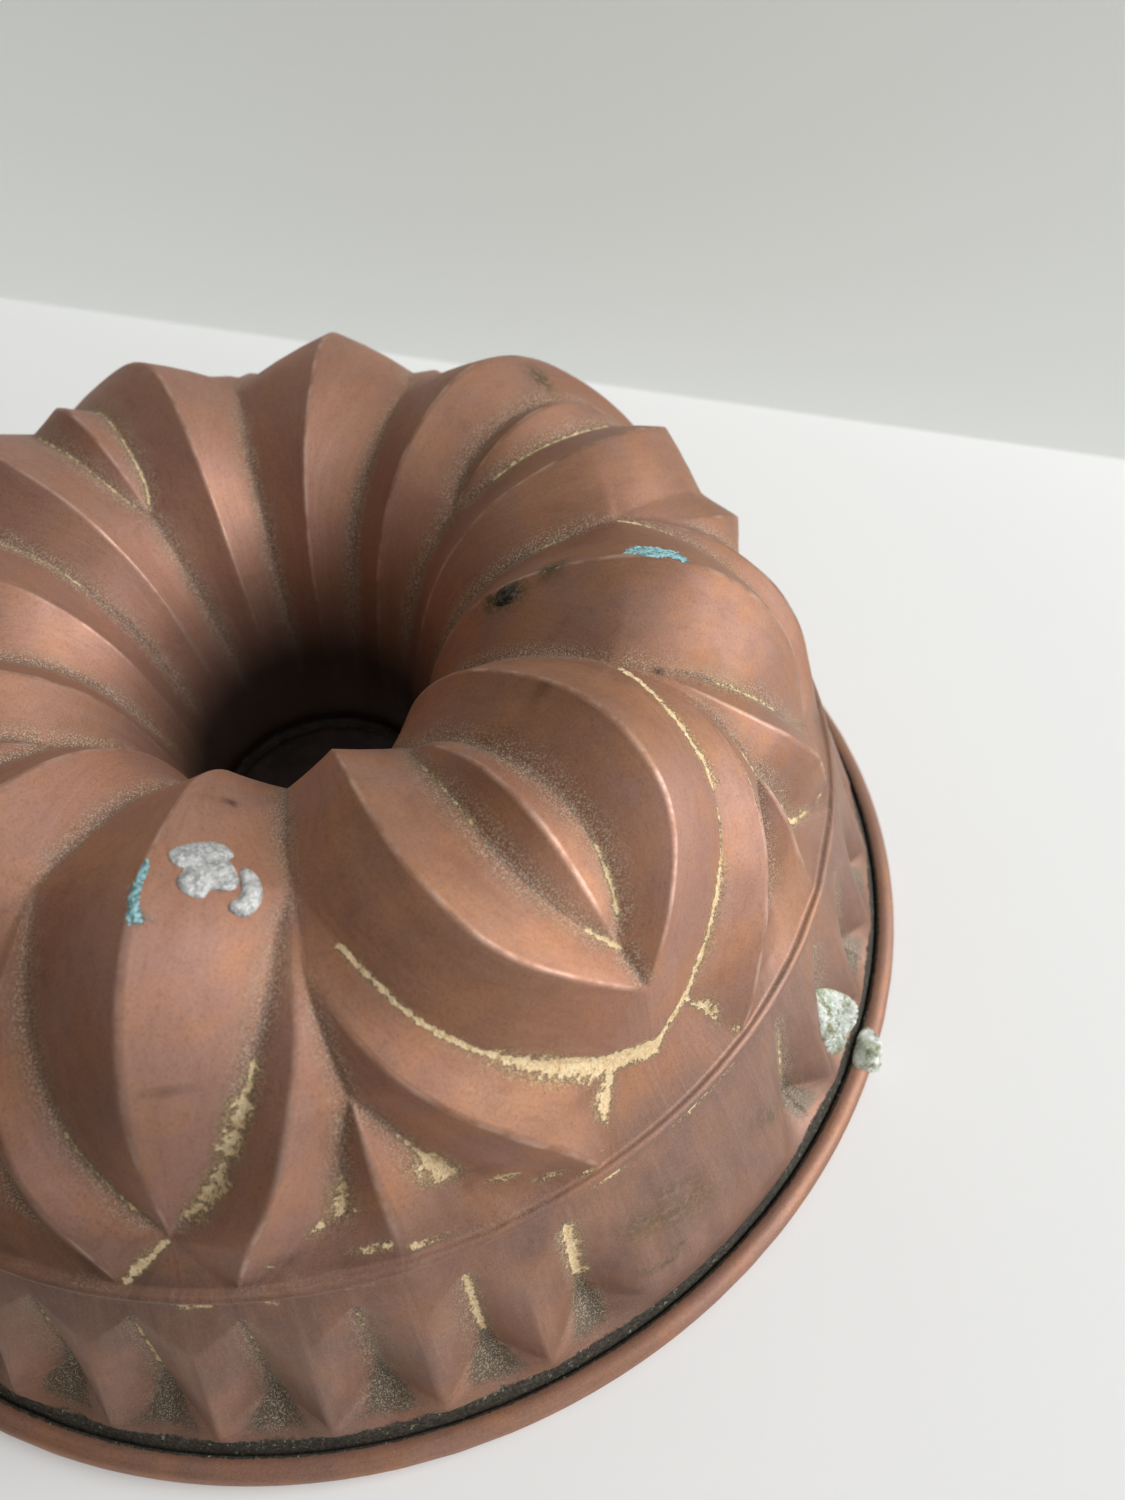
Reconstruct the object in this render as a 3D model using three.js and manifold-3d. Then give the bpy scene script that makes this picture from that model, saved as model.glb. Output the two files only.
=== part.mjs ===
// Fluted copper ring mould for cakes, standing crown up on its wired rim.
// Millimetres, +Z up. The origin is the centre of the resting plane. Two-ridged petals point
// along +X, +Y, -X and -Y; the single-ridged petals stand on the diagonals between them.
import * as THREE from 'three';
import { mergeVertices } from 'three/addons/utils/BufferGeometryUtils.js';
import Module from 'manifold-3d';

const wasm = await Module();
wasm.setup();

// ---- driving dimensions ----
const RIM_RADIUS = 110;            // outside of the rolled rim
const SHEET = 0.9;                 // copper sheet thickness
const ROLL_RADIUS = 2.15;          // outside radius of the rolled edge
const WIRE_RADIUS = 1.05;          // steel wire inside the roll
const CURL_END = 132;              // angle at which the rolled sheet stops, from outward, degrees
const SECTORS = 4;                 // the pattern repeats four times
const HALF_SECTOR = 45;            // and is mirrored inside every quarter
const FIRST_PETAL = -135;          // direction of the first single-ridged petal, degrees
const NOTCH_PITCH = 4.5;           // half the pitch of the chip-cut band, degrees
const LAST_NOTCH = 31.5;           // the band stops here, a plain panel follows
const PANEL_EDGE = 36.8;           // where the last notch runs out on the plain panel
const TUBE_RADIUS = 20.3;          // centre tube, outside
const TUBE_FOOT = 3;               // lower end of the centre tube above the table
const TUBE_TOP = 22;               // top end of the tube, lapped inside the fluted throat
const SEAM_HEIGHT = 1.6;           // solder fillet on the top end of the tube
const FIT = 0.1;                   // clearance between soldered pieces

// ---- floor of the relief: the lowest surface that the valleys touch ----
// [radius, height], from the throat, over the crown, down to the rib
const FLOOR = [
  [20.4, 17], [20.6, 27], [21.4, 36], [23, 44], [25.5, 51], [29, 58.5], [34, 65.2], [41, 70.4],
  [49, 73.4], [57, 74.4], [64, 72.9], [70.5, 69.3], [76, 64.2], [80, 58.3], [83, 51.8],
  [85.8, 45.6], [89.6, 40], [93.8, 34.8],
];

// Stations are measured along the floor, from the throat. These are the ones where lines meet.
const SPLIT = 78;                  // the valley beside a petal forks
const LEAF_TOP = 103.7;            // upper point of the small leaf
const EYE_IN = 57;                 // inner and outer point of the raised eye
const EYE_OUT = 101;
const MERGE = 106.5;               // the two ridges of a petal meet
const PETAL_FOOT = 122.3;          // foot of the single-ridged petal
const LEAF_FOOT = 121.5;           // feet of the valleys beside the leaf
const CORNER = 115.7;              // lower corner of the two-ridged petal
const BOTTOM = 119.4;              // lowest point of the two-ridged petal
const TIPS = 131;                  // tips of the outer petals, just above the rib
const RIB_CREST = { station: 132.2, rise: 1.8 };
const RIB_FOOT = { station: 133.2, rise: 0.3 };
const SKIRT_AT_TIPS = 1;

// ---- feature lines over half a sector: [station, angle, height above the floor] ----
const petalRidge = [
  [8, 0, 0], [20, 0, 0.6], [34, 0, 1.9], [48, 0, 4], [60, 0, 6.2], [72, 0, 7.2], [83, 0, 8.7],
  [90, 0, 8.7], [99, 0, 7.5], [107, 0, 5.7], [115, 0, 3.9], [PETAL_FOOT, 0, 2.1],
];
const throatValley = [
  [0, 15.2, 0], [30, 15.2, 0], [40, 15.2, 0.4], [50, 15.1, 0.9], [60, 15.8, 0.9],
  [70, 15.8, 0.9], [SPLIT, 16.4, 1.5],
];
const petalEdge = [
  [SPLIT, 16.2, 1.5], [83, 14.4, 1.6], [92, 11.8, 1.8], [100, 9.3, 2], [108, 6.7, 2.1],
  [115, 3.9, 2], [PETAL_FOOT, 0, 2.1],
];
const innerTipRidge = [
  [SPLIT, 16.3, 1.5], [88, 15.2, 2.2], [94, 14.6, 3.2], [100, 13.4, 4.3], [105, 12.1, 5.6],
  [110, 10.7, 6.5], [114, 9.4, 6.7], [118, 8.3, 6.2], [123, 7, 4.8], [127, 5.9, 3],
  [TIPS, 4.9, SKIRT_AT_TIPS],
];
const tipValley = [[SPLIT, 16.4, 1.5], [88, 16.2, 2], [95, 16.8, 2.2], [LEAF_TOP, 17.6, 2.2]];
const leafInnerEdge = [
  [LEAF_TOP, 17.6, 2.2], [109, 16.3, 1.4], [116, 15.1, 0.7], [LEAF_FOOT, 14.3, 0.5],
];
const leafRidge = [
  [LEAF_TOP, 17.8, 2.3], [107, 17.9, 3.3], [112, 17.9, 3.9], [118, 18, 3.9],
  [LEAF_FOOT, 18.1, 3.3], [127, 18.3, 2], [TIPS, 18.4, SKIRT_AT_TIPS],
];
const leafOuterEdge = [
  [LEAF_TOP, 18, 2.2], [109, 19.7, 0.9], [115, 21.6, 0.7], [LEAF_FOOT, 23.8, 0.7],
];
const outerTipRidge = [
  [SPLIT, 16.6, 1.5], [88, 16.9, 2.2], [93, 18.3, 3.2], [98, 20.4, 4.6], [102, 22.4, 5.6],
  [107, 25.4, 6.6], [111, 27.9, 7.1], [115, 30, 7.3], [120, 32.2, 6.7], [124.4, 33.8, 5.4],
  [128, 35.1, 3.6], [TIPS, 36, SKIRT_AT_TIPS],
];
const twinEdge = [
  [SPLIT, 16.8, 1.5], [81, 18.1, 2.3], [85, 19.9, 2.9], [91, 22.7, 3.7], [95, 24.5, 4.1],
  [102, 28.9, 4.1], [109, 34.4, 3.7], [CORNER, 40.3, 3.2],
];
const twinRidge = [
  [8, 30, 0], [20, 30, 0.5], [34, 29.8, 1.8], [48, 29.2, 3.9], [56, 28.6, 5.4], [62, 28.3, 6.5],
  [74, 28.3, 7.6], [80, 29.1, 8.4], [85, 30.6, 9], [91, 33, 9.2], [95, 35.6, 8.9],
  [99, 38.9, 8.4], [102.8, 42.1, 7.7], [MERGE, 45, 6.8],
];
const eyeEdge = [
  [EYE_IN, 45, 0.3], [61.3, 42.2, 0.9], [66, 40.9, 1.5], [70, 40.4, 1.8], [77, 39.8, 2.1],
  [82, 39.7, 2.6], [87, 40.2, 3.4], [91, 41.2, 3.9], [95, 42.4, 4.2], [98.2, 43.6, 4.3],
  [EYE_OUT, 45, 4.5],
];
const eyeRidge = [
  [0, 45, 0], [30, 45, 0], [50, 45, 0.3], [EYE_IN, 45, 0.3], [61, 45, 1.4], [64, 45, 2.5],
  [68, 45, 3.8], [71.6, 45, 4.8], [74.8, 45, 5.6], [78, 45, 6.1], [81.6, 45, 6.5],
  [85, 45, 6.4], [89, 45, 5.8], [93, 45, 5.2], [97, 45, 4.8], [EYE_OUT, 45, 4.5],
];
const skirt = [[CORNER, 3.1], [BOTTOM, 2.5], [PETAL_FOOT, 2.1], [TIPS, SKIRT_AT_TIPS]];

// ---- chip-cut band on the wall below the rib: [height, radius], from the bottom up ----
const PANEL = [[6.4, 105.2], [11.6, 104], [17.6, 101.8], [24.8, 98.7], [29.7, 96.4], [34.8, 93.9]];
const BAND_VALLEY = [[11.6, 99.5], [31.1, 95]];
const BAND_RIDGE = [[7.7, 104.7], [25, 98.3]];
const BAND_ROWS = [                // [ridge, valley, panel] heights, from the top down
  [25, 31.1, 27],
  [16.5, 21, 17],
  [7.7, 11.6, 9.5],
];
const GROOVE = { r: 105.3, z: 5.4 };   // wall just above the rolled edge
const WALL_INSET = 0.98;           // sheet thickness measured level across the sloping wall

// ---- solder repairs on the crown: direction and station of the centre, half sizes ----
const REPAIRS = {
  repair_patch_large: { turn: -128.7, station: 76, lengthwise: 4, across: 3.8 },
  repair_patch_small: { turn: -123.5, station: 78, lengthwise: 3.3, across: 1.7 },
  pinhole_solder: { turn: -47.5, station: 60.8, lengthwise: 2.2, across: 1.6 },
};
const REPAIR_RISE = 0.8;           // height of a repair over the sheet
// crust at the rim: a lump on the wall and one on the rolled edge, joined over the groove
const CRUST = [
  { turn: -67.3, r: 102.6, z: 12.5, tilt: 22, lengthwise: 6.2, across: 2.4, rise: 1.3 },
  { turn: -66.4, r: 107.4, z: 4.3, tilt: 80, lengthwise: 2, across: 4, rise: 0.8 },
  { turn: -67.2, r: 104.9, z: 5.9, tilt: 45, lengthwise: 2.4, across: 2, rise: 0.9 },
];

const radians = (degrees) => THREE.MathUtils.degToRad(degrees);

// Smooth curve through the rows of a table, held at its ends.
function along(table, at) {
  const last = table.length - 1;
  const x = THREE.MathUtils.clamp(at, table[0][0], table[last][0]);
  let i = 0;
  while (i < last - 1 && x >= table[i + 1][0]) i += 1;
  const rise = (a, b, j) => (table[b][j] - table[a][j]) / (table[b][0] - table[a][0]);
  const slope = (n, j) => {
    if (n === 0) return rise(0, 1, j);
    if (n === last) return rise(last - 1, last, j);
    return (rise(n - 1, n, j) + rise(n, n + 1, j)) / 2;
  };
  const width = table[i + 1][0] - table[i][0];
  const u = (x - table[i][0]) / width;
  const values = [];
  for (let j = 1; j < table[i].length; j += 1) {
    values.push((2 * u ** 3 - 3 * u ** 2 + 1) * table[i][j]
      + (u ** 3 - 2 * u ** 2 + u) * width * slope(i, j)
      + (-2 * u ** 3 + 3 * u ** 2) * table[i + 1][j]
      + (u ** 3 - u ** 2) * width * slope(i + 1, j));
  }
  return values;
}

const straight = (from, to, at) => along([from, to], at);

// Breakpoints of the relief across half a sector at one station: [angle, height], in order.
function breakpoints(station) {
  const s = station;
  const skirtHeight = along(skirt, s)[0];
  if (s >= TIPS) return [[0, skirtHeight], [HALF_SECTOR, skirtHeight]];
  const list = [s < PETAL_FOOT ? along(petalRidge, s) : [0, skirtHeight]];
  if (s <= SPLIT) {
    list.push(along(throatValley, s));
  } else {
    list.push(s < PETAL_FOOT
      ? along(petalEdge, s)
      : straight([PETAL_FOOT, 0, 2.1], [TIPS, 4.85, SKIRT_AT_TIPS], s));
    list.push(along(innerTipRidge, s));
    if (s < LEAF_TOP) {
      list.push(along(tipValley, s));
    } else if (s < LEAF_FOOT) {
      list.push(along(leafInnerEdge, s), along(leafRidge, s), along(leafOuterEdge, s));
    } else {
      list.push(straight([LEAF_FOOT, 14.3, 0.5], [TIPS, 4.95, SKIRT_AT_TIPS], s));
      list.push(straight([LEAF_FOOT, 14.4, 0.5], [TIPS, 18.35, SKIRT_AT_TIPS], s));
      list.push(along(leafRidge, s));
      list.push(straight([LEAF_FOOT, 23.8, 0.7], [TIPS, 18.45, SKIRT_AT_TIPS], s));
      list.push(straight([LEAF_FOOT, 23.9, 0.7], [TIPS, 35.9, SKIRT_AT_TIPS], s));
    }
    list.push(along(outerTipRidge, s));
    list.push(s < CORNER
      ? along(twinEdge, s)
      : straight([CORNER, 40.3, 3.2], [TIPS, 36.1, SKIRT_AT_TIPS], s));
  }
  if (s < MERGE) {
    list.push(along(twinRidge, s));
    if (s > EYE_IN && s < EYE_OUT) list.push(along(eyeEdge, s));
    list.push(s < EYE_OUT ? along(eyeRidge, s) : straight([EYE_OUT, 45, 4.5], [MERGE, 45, 6.8], s));
  } else if (s < BOTTOM) {
    if (s > CORNER) list.push(straight([CORNER, 40.4, 3.2], [BOTTOM, 44.9, 2.5], s));
    list.push(straight([MERGE, 45, 6.8], [BOTTOM, 45, 2.5], s));
  } else {
    list.push([HALF_SECTOR, skirtHeight]);
  }
  return list;
}

// Height of the relief above the floor at a station and an angle from the petal's axis.
function relief(station, angle) {
  const list = breakpoints(station);
  for (let i = 1; i < list.length; i += 1) {
    const [a0, h0] = list[i - 1];
    const [a1, h1] = list[i];
    if (angle <= a1) return a1 - a0 < 1e-6 ? h1 : h0 + (h1 - h0) * (angle - a0) / (a1 - a0);
  }
  return list[list.length - 1][1];
}

// Floor with its station measured along it, its point and the direction away from the sheet.
const floorTable = [];
FLOOR.forEach(([r, z], i) => {
  const step = i === 0 ? 0 : Math.hypot(r - FLOOR[i - 1][0], z - FLOOR[i - 1][1]);
  floorTable.push([(i === 0 ? 0 : floorTable[i - 1][0]) + step, r, z]);
});

// Radius and height of a point lifted off the floor.
function section(station, height) {
  const [r, z] = along(floorTable, station);
  const before = along(floorTable, station - 0.05);
  const after = along(floorTable, station + 0.05);
  const dr = after[0] - before[0];
  const dz = after[1] - before[1];
  const length = Math.hypot(dr, dz);
  return [r - (height * dz) / length, z + (height * dr) / length];
}

// ---- columns: eleven lines over half a sector, kept on ridges and valleys ----
const COLUMNS = 10;
const MIN_STEP = 0.45;

function columnAngles(station) {
  const s = station;
  if (s >= RIB_CREST.station) return bandAngles();
  const footed = (table, from, to) => (s < from[0] ? along(table, s) : straight(from, to, s))[0];
  const lower = [
    0,
    footed(petalEdge, [PETAL_FOOT, 0], [TIPS, 4.3]),
    along(innerTipRidge, s)[0],
    s < LEAF_TOP ? along(tipValley, s)[0] - 0.4 : footed(leafInnerEdge, [LEAF_FOOT, 14.3], [TIPS, 8]),
    s < LEAF_TOP ? along(tipValley, s)[0] : along(leafRidge, s)[0],
    s < LEAF_TOP ? along(tipValley, s)[0] + 0.4 : footed(leafOuterEdge, [LEAF_FOOT, 23.8], [TIPS, 26]),
    along(outerTipRidge, s)[0],
    footed(twinEdge, [CORNER, 40.3], [TIPS, 37.5]),
    s < MERGE ? along(twinRidge, s)[0] : 43,
    s < EYE_IN ? 37.5 : along(eyeEdge, s)[0],
    HALF_SECTOR,
  ];
  if (s > MERGE) lower[9] = 44;
  const valley = along(throatValley, s)[0];
  const ridge = along(twinRidge, s)[0];
  const upper = lower.map((angle, k) => {
    if (k <= 4) return (valley * k) / 4;
    return k < 8 ? valley + ((ridge - valley) * (k - 4)) / 4 : angle;
  });
  const spread = THREE.MathUtils.clamp((SPLIT - s) / 22, 0, 1);
  const angles = lower.map((angle, k) => THREE.MathUtils.lerp(angle, upper[k], spread));
  for (let k = 1; k <= COLUMNS; k += 1) {
    angles[k] = Math.max(angles[k], angles[k - 1] + MIN_STEP);
  }
  angles[COLUMNS] = HALF_SECTOR;
  for (let k = COLUMNS - 1; k > 0; k -= 1) {
    angles[k] = Math.min(angles[k], angles[k + 1] - MIN_STEP);
  }
  return angles;
}

function bandAngles() {
  const angles = [];
  for (let k = 0; k * NOTCH_PITCH <= LAST_NOTCH; k += 1) angles.push(k * NOTCH_PITCH);
  return [...angles, PANEL_EDGE, 41, HALF_SECTOR];
}

// Row of the crown at one station: a section point for each column.
function crownRow(station, lift = 0) {
  return columnAngles(station).map((angle) => {
    const [r, z] = section(station, relief(station, angle) + lift);
    return { angle, r, z };
  });
}

// Row of the chip-cut band: ridges, valleys and panel each have their own height.
function bandRow([ridgeZ, valleyZ, panelZ]) {
  return bandAngles().map((angle, k) => {
    if (angle > LAST_NOTCH) return { angle, r: along(PANEL, panelZ)[0], z: panelZ };
    const onRidge = k % 2 === 0;
    const z = onRidge ? ridgeZ : valleyZ;
    return { angle, r: along(onRidge ? BAND_RIDGE : BAND_VALLEY, z)[0], z };
  });
}

const levelRow = (r, z) => bandAngles().map((angle) => ({ angle, r, z }));
const ribRow = ({ station, rise }, lift) => levelRow(...section(station, rise + lift));

// ---- closed solid from rows: mirrored inside each sector, repeated round the axis ----
function fullRing(row) {
  const ring = [];
  for (let sector = 0; sector < SECTORS; sector += 1) {
    const axis = FIRST_PETAL + (360 / SECTORS) * sector;
    for (let k = 0; k < COLUMNS; k += 1) ring.push({ ...row[k], turn: axis + row[k].angle });
    for (let k = COLUMNS; k > 0; k -= 1) ring.push({ ...row[k], turn: axis + 90 - row[k].angle });
  }
  return ring.map(({ r, z, turn }) => new THREE.Vector3(
    r * Math.cos(radians(turn)),
    r * Math.sin(radians(turn)),
    z,
  ));
}

// Rows run clockwise round the section seen with the radius to the right, and close on the first.
function ringSolid(rows) {
  const rings = rows.map(fullRing);
  const count = rings[0].length;
  const positions = rings.flat().flatMap((p) => [p.x, p.y, p.z]);
  const index = [];
  rings.forEach((ring, i) => {
    const nextRow = (i + 1) % rings.length;
    for (let j = 0; j < count; j += 1) {
      const nextColumn = (j + 1) % count;
      const [a, b, c, d] = [i * count + j, i * count + nextColumn,
        nextRow * count + nextColumn, nextRow * count + j];
      const across = ring[j].distanceTo(rings[nextRow][nextColumn]);
      const counter = ring[nextColumn].distanceTo(rings[nextRow][j]);
      if (across < counter) index.push(a, c, b, a, d, c);
      else index.push(a, d, b, b, d, c);
    }
  });
  const geometry = new THREE.BufferGeometry();
  geometry.setAttribute('position', new THREE.Float32BufferAttribute(positions, 3));
  geometry.setIndex(index);
  return geometry;
}

// ---- the pressed body with its rolled edge ----
const CROWN_STATIONS = [0, 14, 28, 38, 47, EYE_IN, 64, 71, SPLIT, 86, 94, EYE_OUT, MERGE, 111,
  CORNER, BOTTOM, PETAL_FOOT, 126.5, TIPS];
const WIRE_CENTRE = { r: RIM_RADIUS - ROLL_RADIUS, z: ROLL_RADIUS };
const RESTING_LAND = 0.55;         // half width of the flat that the rim has worn on its underside
const CURL_INSIDE = [185, 235, 285, 335, 25, 80, CURL_END];
const CURL_TOP = [CURL_END, 95, 60, 30, 0, -35];
const CURL_BACK = [-140, 185];

// Row round the rolled edge, at an angle measured upwards from the outward direction.
function rollRow(radius, degrees) {
  return levelRow(
    WIRE_CENTRE.r + radius * Math.cos(radians(degrees)),
    WIRE_CENTRE.z + radius * Math.sin(radians(degrees)),
  );
}

// One face of the sheet, from the throat to the groove above the rolled edge.
function sheetFace(lift, wallLift) {
  const wall = [...BAND_ROWS.map(bandRow), levelRow(GROOVE.r, GROOVE.z)];
  return [
    ...CROWN_STATIONS.map((station) => crownRow(station, lift)),
    ribRow(RIB_CREST, lift),
    ribRow(RIB_FOOT, lift),
    ...wall.map((row) => row.map(({ angle, r, z }) => ({ angle, r: r + wallLift, z }))),
  ];
}

// lift swells the show side, which makes the cutter for the solder that lies on it.
function bodyGeometry(lift = 0) {
  return ringSolid([
    ...sheetFace(lift, lift),
    ...CURL_INSIDE.map((degrees) => rollRow(ROLL_RADIUS - SHEET, degrees)),
    ...CURL_TOP.map((degrees) => rollRow(ROLL_RADIUS + lift, degrees)),
    levelRow(WIRE_CENTRE.r + RESTING_LAND, 0),
    levelRow(WIRE_CENTRE.r - RESTING_LAND, 0),
    ...CURL_BACK.map((degrees) => rollRow(ROLL_RADIUS, degrees)),
    ...sheetFace(-SHEET, -WALL_INSET).reverse(),
  ]);
}

// ---- plain turned pieces ----
const ROUND = 48;

function turned(profile) {
  const points = profile.map(([r, z]) => new THREE.Vector2(r, z));
  points.push(points[0].clone());
  const geometry = new THREE.LatheGeometry(points, ROUND);
  geometry.rotateX(Math.PI / 2);
  return geometry;
}

function tubeGeometry() {
  const bore = TUBE_RADIUS - SHEET;
  return turned([[bore, TUBE_FOOT], [TUBE_RADIUS, TUBE_FOOT], [TUBE_RADIUS, TUBE_TOP], [bore, TUBE_TOP]]);
}

function seamGeometry() {
  const floor = TUBE_TOP + FIT;
  const toe = TUBE_RADIUS - SHEET + FIT;
  return turned([[toe, floor], [TUBE_RADIUS - FIT, floor], [TUBE_RADIUS - FIT, floor + SEAM_HEIGHT],
    [toe + 0.3, floor + 0.5]]);
}

function wireGeometry() {
  const rows = [];
  for (let i = 0; i < 8; i += 1) {
    const turn = radians(22.5 - 45 * i);
    rows.push(levelRow(
      WIRE_CENTRE.r + WIRE_RADIUS * Math.cos(turn),
      WIRE_CENTRE.z + WIRE_RADIUS * Math.sin(turn),
    ));
  }
  return ringSolid(rows);
}

// ---- solder blobs: a lens cut by the body with a little clearance ----
function toManifold(geometry) {
  const bare = geometry.clone();
  bare.deleteAttribute('normal');
  bare.deleteAttribute('uv');
  const merged = mergeVertices(bare, 1e-4);
  return new wasm.Manifold(new wasm.Mesh({
    numProp: 3,
    vertProperties: Float32Array.from(merged.attributes.position.array),
    triVerts: Uint32Array.from(merged.index.array),
  }));
}

function fromManifold(solid) {
  const mesh = solid.getMesh();
  const geometry = new THREE.BufferGeometry();
  geometry.setAttribute('position', new THREE.Float32BufferAttribute(mesh.vertProperties, 3));
  geometry.setIndex(Array.from(mesh.triVerts));
  return geometry;
}

function largest(solid) {
  const parts = solid.decompose();
  return parts.reduce((best, part) => (part.volume() > best.volume() ? part : best));
}

// Ellipsoid lying on the sheet: lengthwise down the section, across round the axis.
function lump({ turn, r, z, tilt, lengthwise, across, rise }) {
  const geometry = new THREE.SphereGeometry(1, 14, 9);
  geometry.scale(rise, across, lengthwise);
  geometry.rotateY(-radians(tilt));
  geometry.translate(r, 0, z);
  geometry.rotateZ(radians(turn));
  return toManifold(geometry);
}

function onCrown({ turn, station, lengthwise, across }) {
  const sector = (turn - FIRST_PETAL + 720) % 90;
  const angle = sector > HALF_SECTOR ? 90 - sector : sector;
  const [r, z] = section(station, relief(station, angle));
  const [r1, z1] = section(station, relief(station, angle) + 1);
  const tilt = THREE.MathUtils.radToDeg(Math.atan2(z1 - z, r1 - r));
  return lump({ turn, r, z, tilt, lengthwise, across, rise: REPAIR_RISE });
}

function trimmed(blank) {
  return fromManifold(largest(blank.subtract(toManifold(bodyGeometry(FIT)))));
}

const group = new THREE.Group();

function addPiece(name, geometry, color, roughness, metalness) {
  geometry.computeVertexNormals();
  const material = new THREE.MeshStandardMaterial({ color, roughness, metalness });
  const mesh = new THREE.Mesh(geometry, material);
  mesh.name = name;
  group.add(mesh);
}

addPiece('body_shell', bodyGeometry(), 0x9c5f48, 0.45, 1);
addPiece('centre_tube', tubeGeometry(), 0x8a5340, 0.55, 1);
addPiece('rim_wire', wireGeometry(), 0x4a4642, 0.6, 1);
addPiece('tube_seam_solder', seamGeometry(), 0x9a8f6c, 0.8, 0.3);

Object.entries(REPAIRS).forEach(([name, repair]) => {
  addPiece(name, trimmed(onCrown(repair)), 0xa9aaa6, 0.5, 0.9);
});
const crust = CRUST.map(lump).reduce((whole, part) => whole.add(part));
addPiece('rim_solder_crust', trimmed(crust), 0x9aa894, 0.85, 0.1);

export default group;
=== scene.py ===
"""Looks of the fluted copper ring mould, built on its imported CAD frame.

The pressed sheet is one closed mesh. Its rows run down the show side, round the rolled edge and back
up the tinned inside. Its columns follow the ridges and valleys of the relief.
Lengths are in millimetres until a mesh is made. Angles are in degrees about +Z.
"""
import math

import bpy
import numpy as np
from mathutils import Matrix, Vector


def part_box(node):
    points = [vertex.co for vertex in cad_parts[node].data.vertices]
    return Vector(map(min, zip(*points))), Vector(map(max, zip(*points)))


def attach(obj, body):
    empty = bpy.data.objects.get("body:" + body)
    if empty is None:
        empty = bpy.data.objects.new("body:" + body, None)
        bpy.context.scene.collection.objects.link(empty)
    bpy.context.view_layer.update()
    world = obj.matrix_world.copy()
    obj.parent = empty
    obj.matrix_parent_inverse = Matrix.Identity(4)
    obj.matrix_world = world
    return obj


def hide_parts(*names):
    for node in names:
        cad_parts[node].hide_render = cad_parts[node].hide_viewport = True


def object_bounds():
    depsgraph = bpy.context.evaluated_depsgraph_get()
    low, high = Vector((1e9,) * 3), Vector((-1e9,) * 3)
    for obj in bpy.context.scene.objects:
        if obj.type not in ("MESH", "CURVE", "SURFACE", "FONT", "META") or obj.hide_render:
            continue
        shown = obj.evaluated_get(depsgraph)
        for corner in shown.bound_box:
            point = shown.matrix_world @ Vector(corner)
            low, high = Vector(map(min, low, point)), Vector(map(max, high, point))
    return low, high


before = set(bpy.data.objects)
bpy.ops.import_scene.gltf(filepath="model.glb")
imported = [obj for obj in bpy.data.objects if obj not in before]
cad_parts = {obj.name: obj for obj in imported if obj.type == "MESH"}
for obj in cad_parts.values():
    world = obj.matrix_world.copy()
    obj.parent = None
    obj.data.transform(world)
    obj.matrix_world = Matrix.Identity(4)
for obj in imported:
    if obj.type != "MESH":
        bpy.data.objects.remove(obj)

CAD_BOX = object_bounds()
MM = 0.001


def extent(node):
    """Lowest and highest corner of a CAD node, in millimetres."""
    low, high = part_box(node)
    return np.array(low) / MM, np.array(high) / MM


# ---- sizes that come from the frame ----
RIM_RADIUS = extent("body_shell")[1][0]
TUBE_RADIUS = extent("centre_tube")[1][0]
TUBE_FOOT, TUBE_TOP = extent("centre_tube")[0][2], extent("centre_tube")[1][2]
SEAM_TOP = extent("tube_seam_solder")[1][2]
ROLL_RADIUS = (extent("rim_wire")[0][2] + extent("rim_wire")[1][2]) / 2
WIRE_R, WIRE_Z = RIM_RADIUS - ROLL_RADIUS, ROLL_RADIUS

# ---- sizes of the pressed sheet ----
SHEET = 0.9             # thickness
SECTORS = 4             # each from the ridge of a single-ridged petal to that of the next
HALF_SECTOR = 45.0
FIRST_PETAL = -135.0    # direction of the first single-ridged petal

# ---- floor of the relief, [radius, height], from the throat over the crown to the foot of the rib ----
FLOOR = np.array([
    (20.4, 17), (20.6, 27), (21.4, 36), (23, 44), (25.5, 51), (29, 58.5), (34, 65.2), (41, 70.4),
    (49, 73.4), (57, 74.4), (64, 72.9), (70.5, 69.3), (76, 64.2), (80, 58.3), (83, 51.8),
    (85.8, 45.6), (89.6, 40), (93.8, 34.8),
], float)
FLOOR_STATION = np.r_[0, np.cumsum(np.hypot(*np.diff(FLOOR, axis=0).T))]

# Stations are measured along the floor, from the throat. These are the ones where lines meet.
SPLIT = 78.0
LEAF_TOP = 103.7
EYE_IN = 57.0
EYE_OUT = 101.0
MERGE = 106.5
PETAL_FOOT = 122.3
LEAF_FOOT = 121.5
CORNER = 115.7
BOTTOM = 119.4
TIPS = 131.0
SKIRT_AT_TIPS = 1.0

# ---- feature lines over half a sector: [station, angle, height above the floor] ----
PETAL_RIDGE = [
    [8, 0, 0], [20, 0, 0.6], [34, 0, 1.9], [48, 0, 4], [60, 0, 6.2], [72, 0, 7.2], [83, 0, 8.7],
    [90, 0, 8.7], [99, 0, 7.5], [107, 0, 5.7], [115, 0, 3.9], [PETAL_FOOT, 0, 2.1],
]
THROAT_VALLEY = [
    [0, 15.2, 0], [30, 15.2, 0], [40, 15.2, 0.4], [50, 15.1, 0.9], [60, 15.8, 0.9],
    [70, 15.8, 0.9], [SPLIT, 16.4, 1.5],
]
PETAL_EDGE = [
    [SPLIT, 16.2, 1.5], [83, 14.4, 1.6], [92, 11.8, 1.8], [100, 9.3, 2], [108, 6.7, 2.1],
    [115, 3.9, 2], [PETAL_FOOT, 0, 2.1],
]
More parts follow.
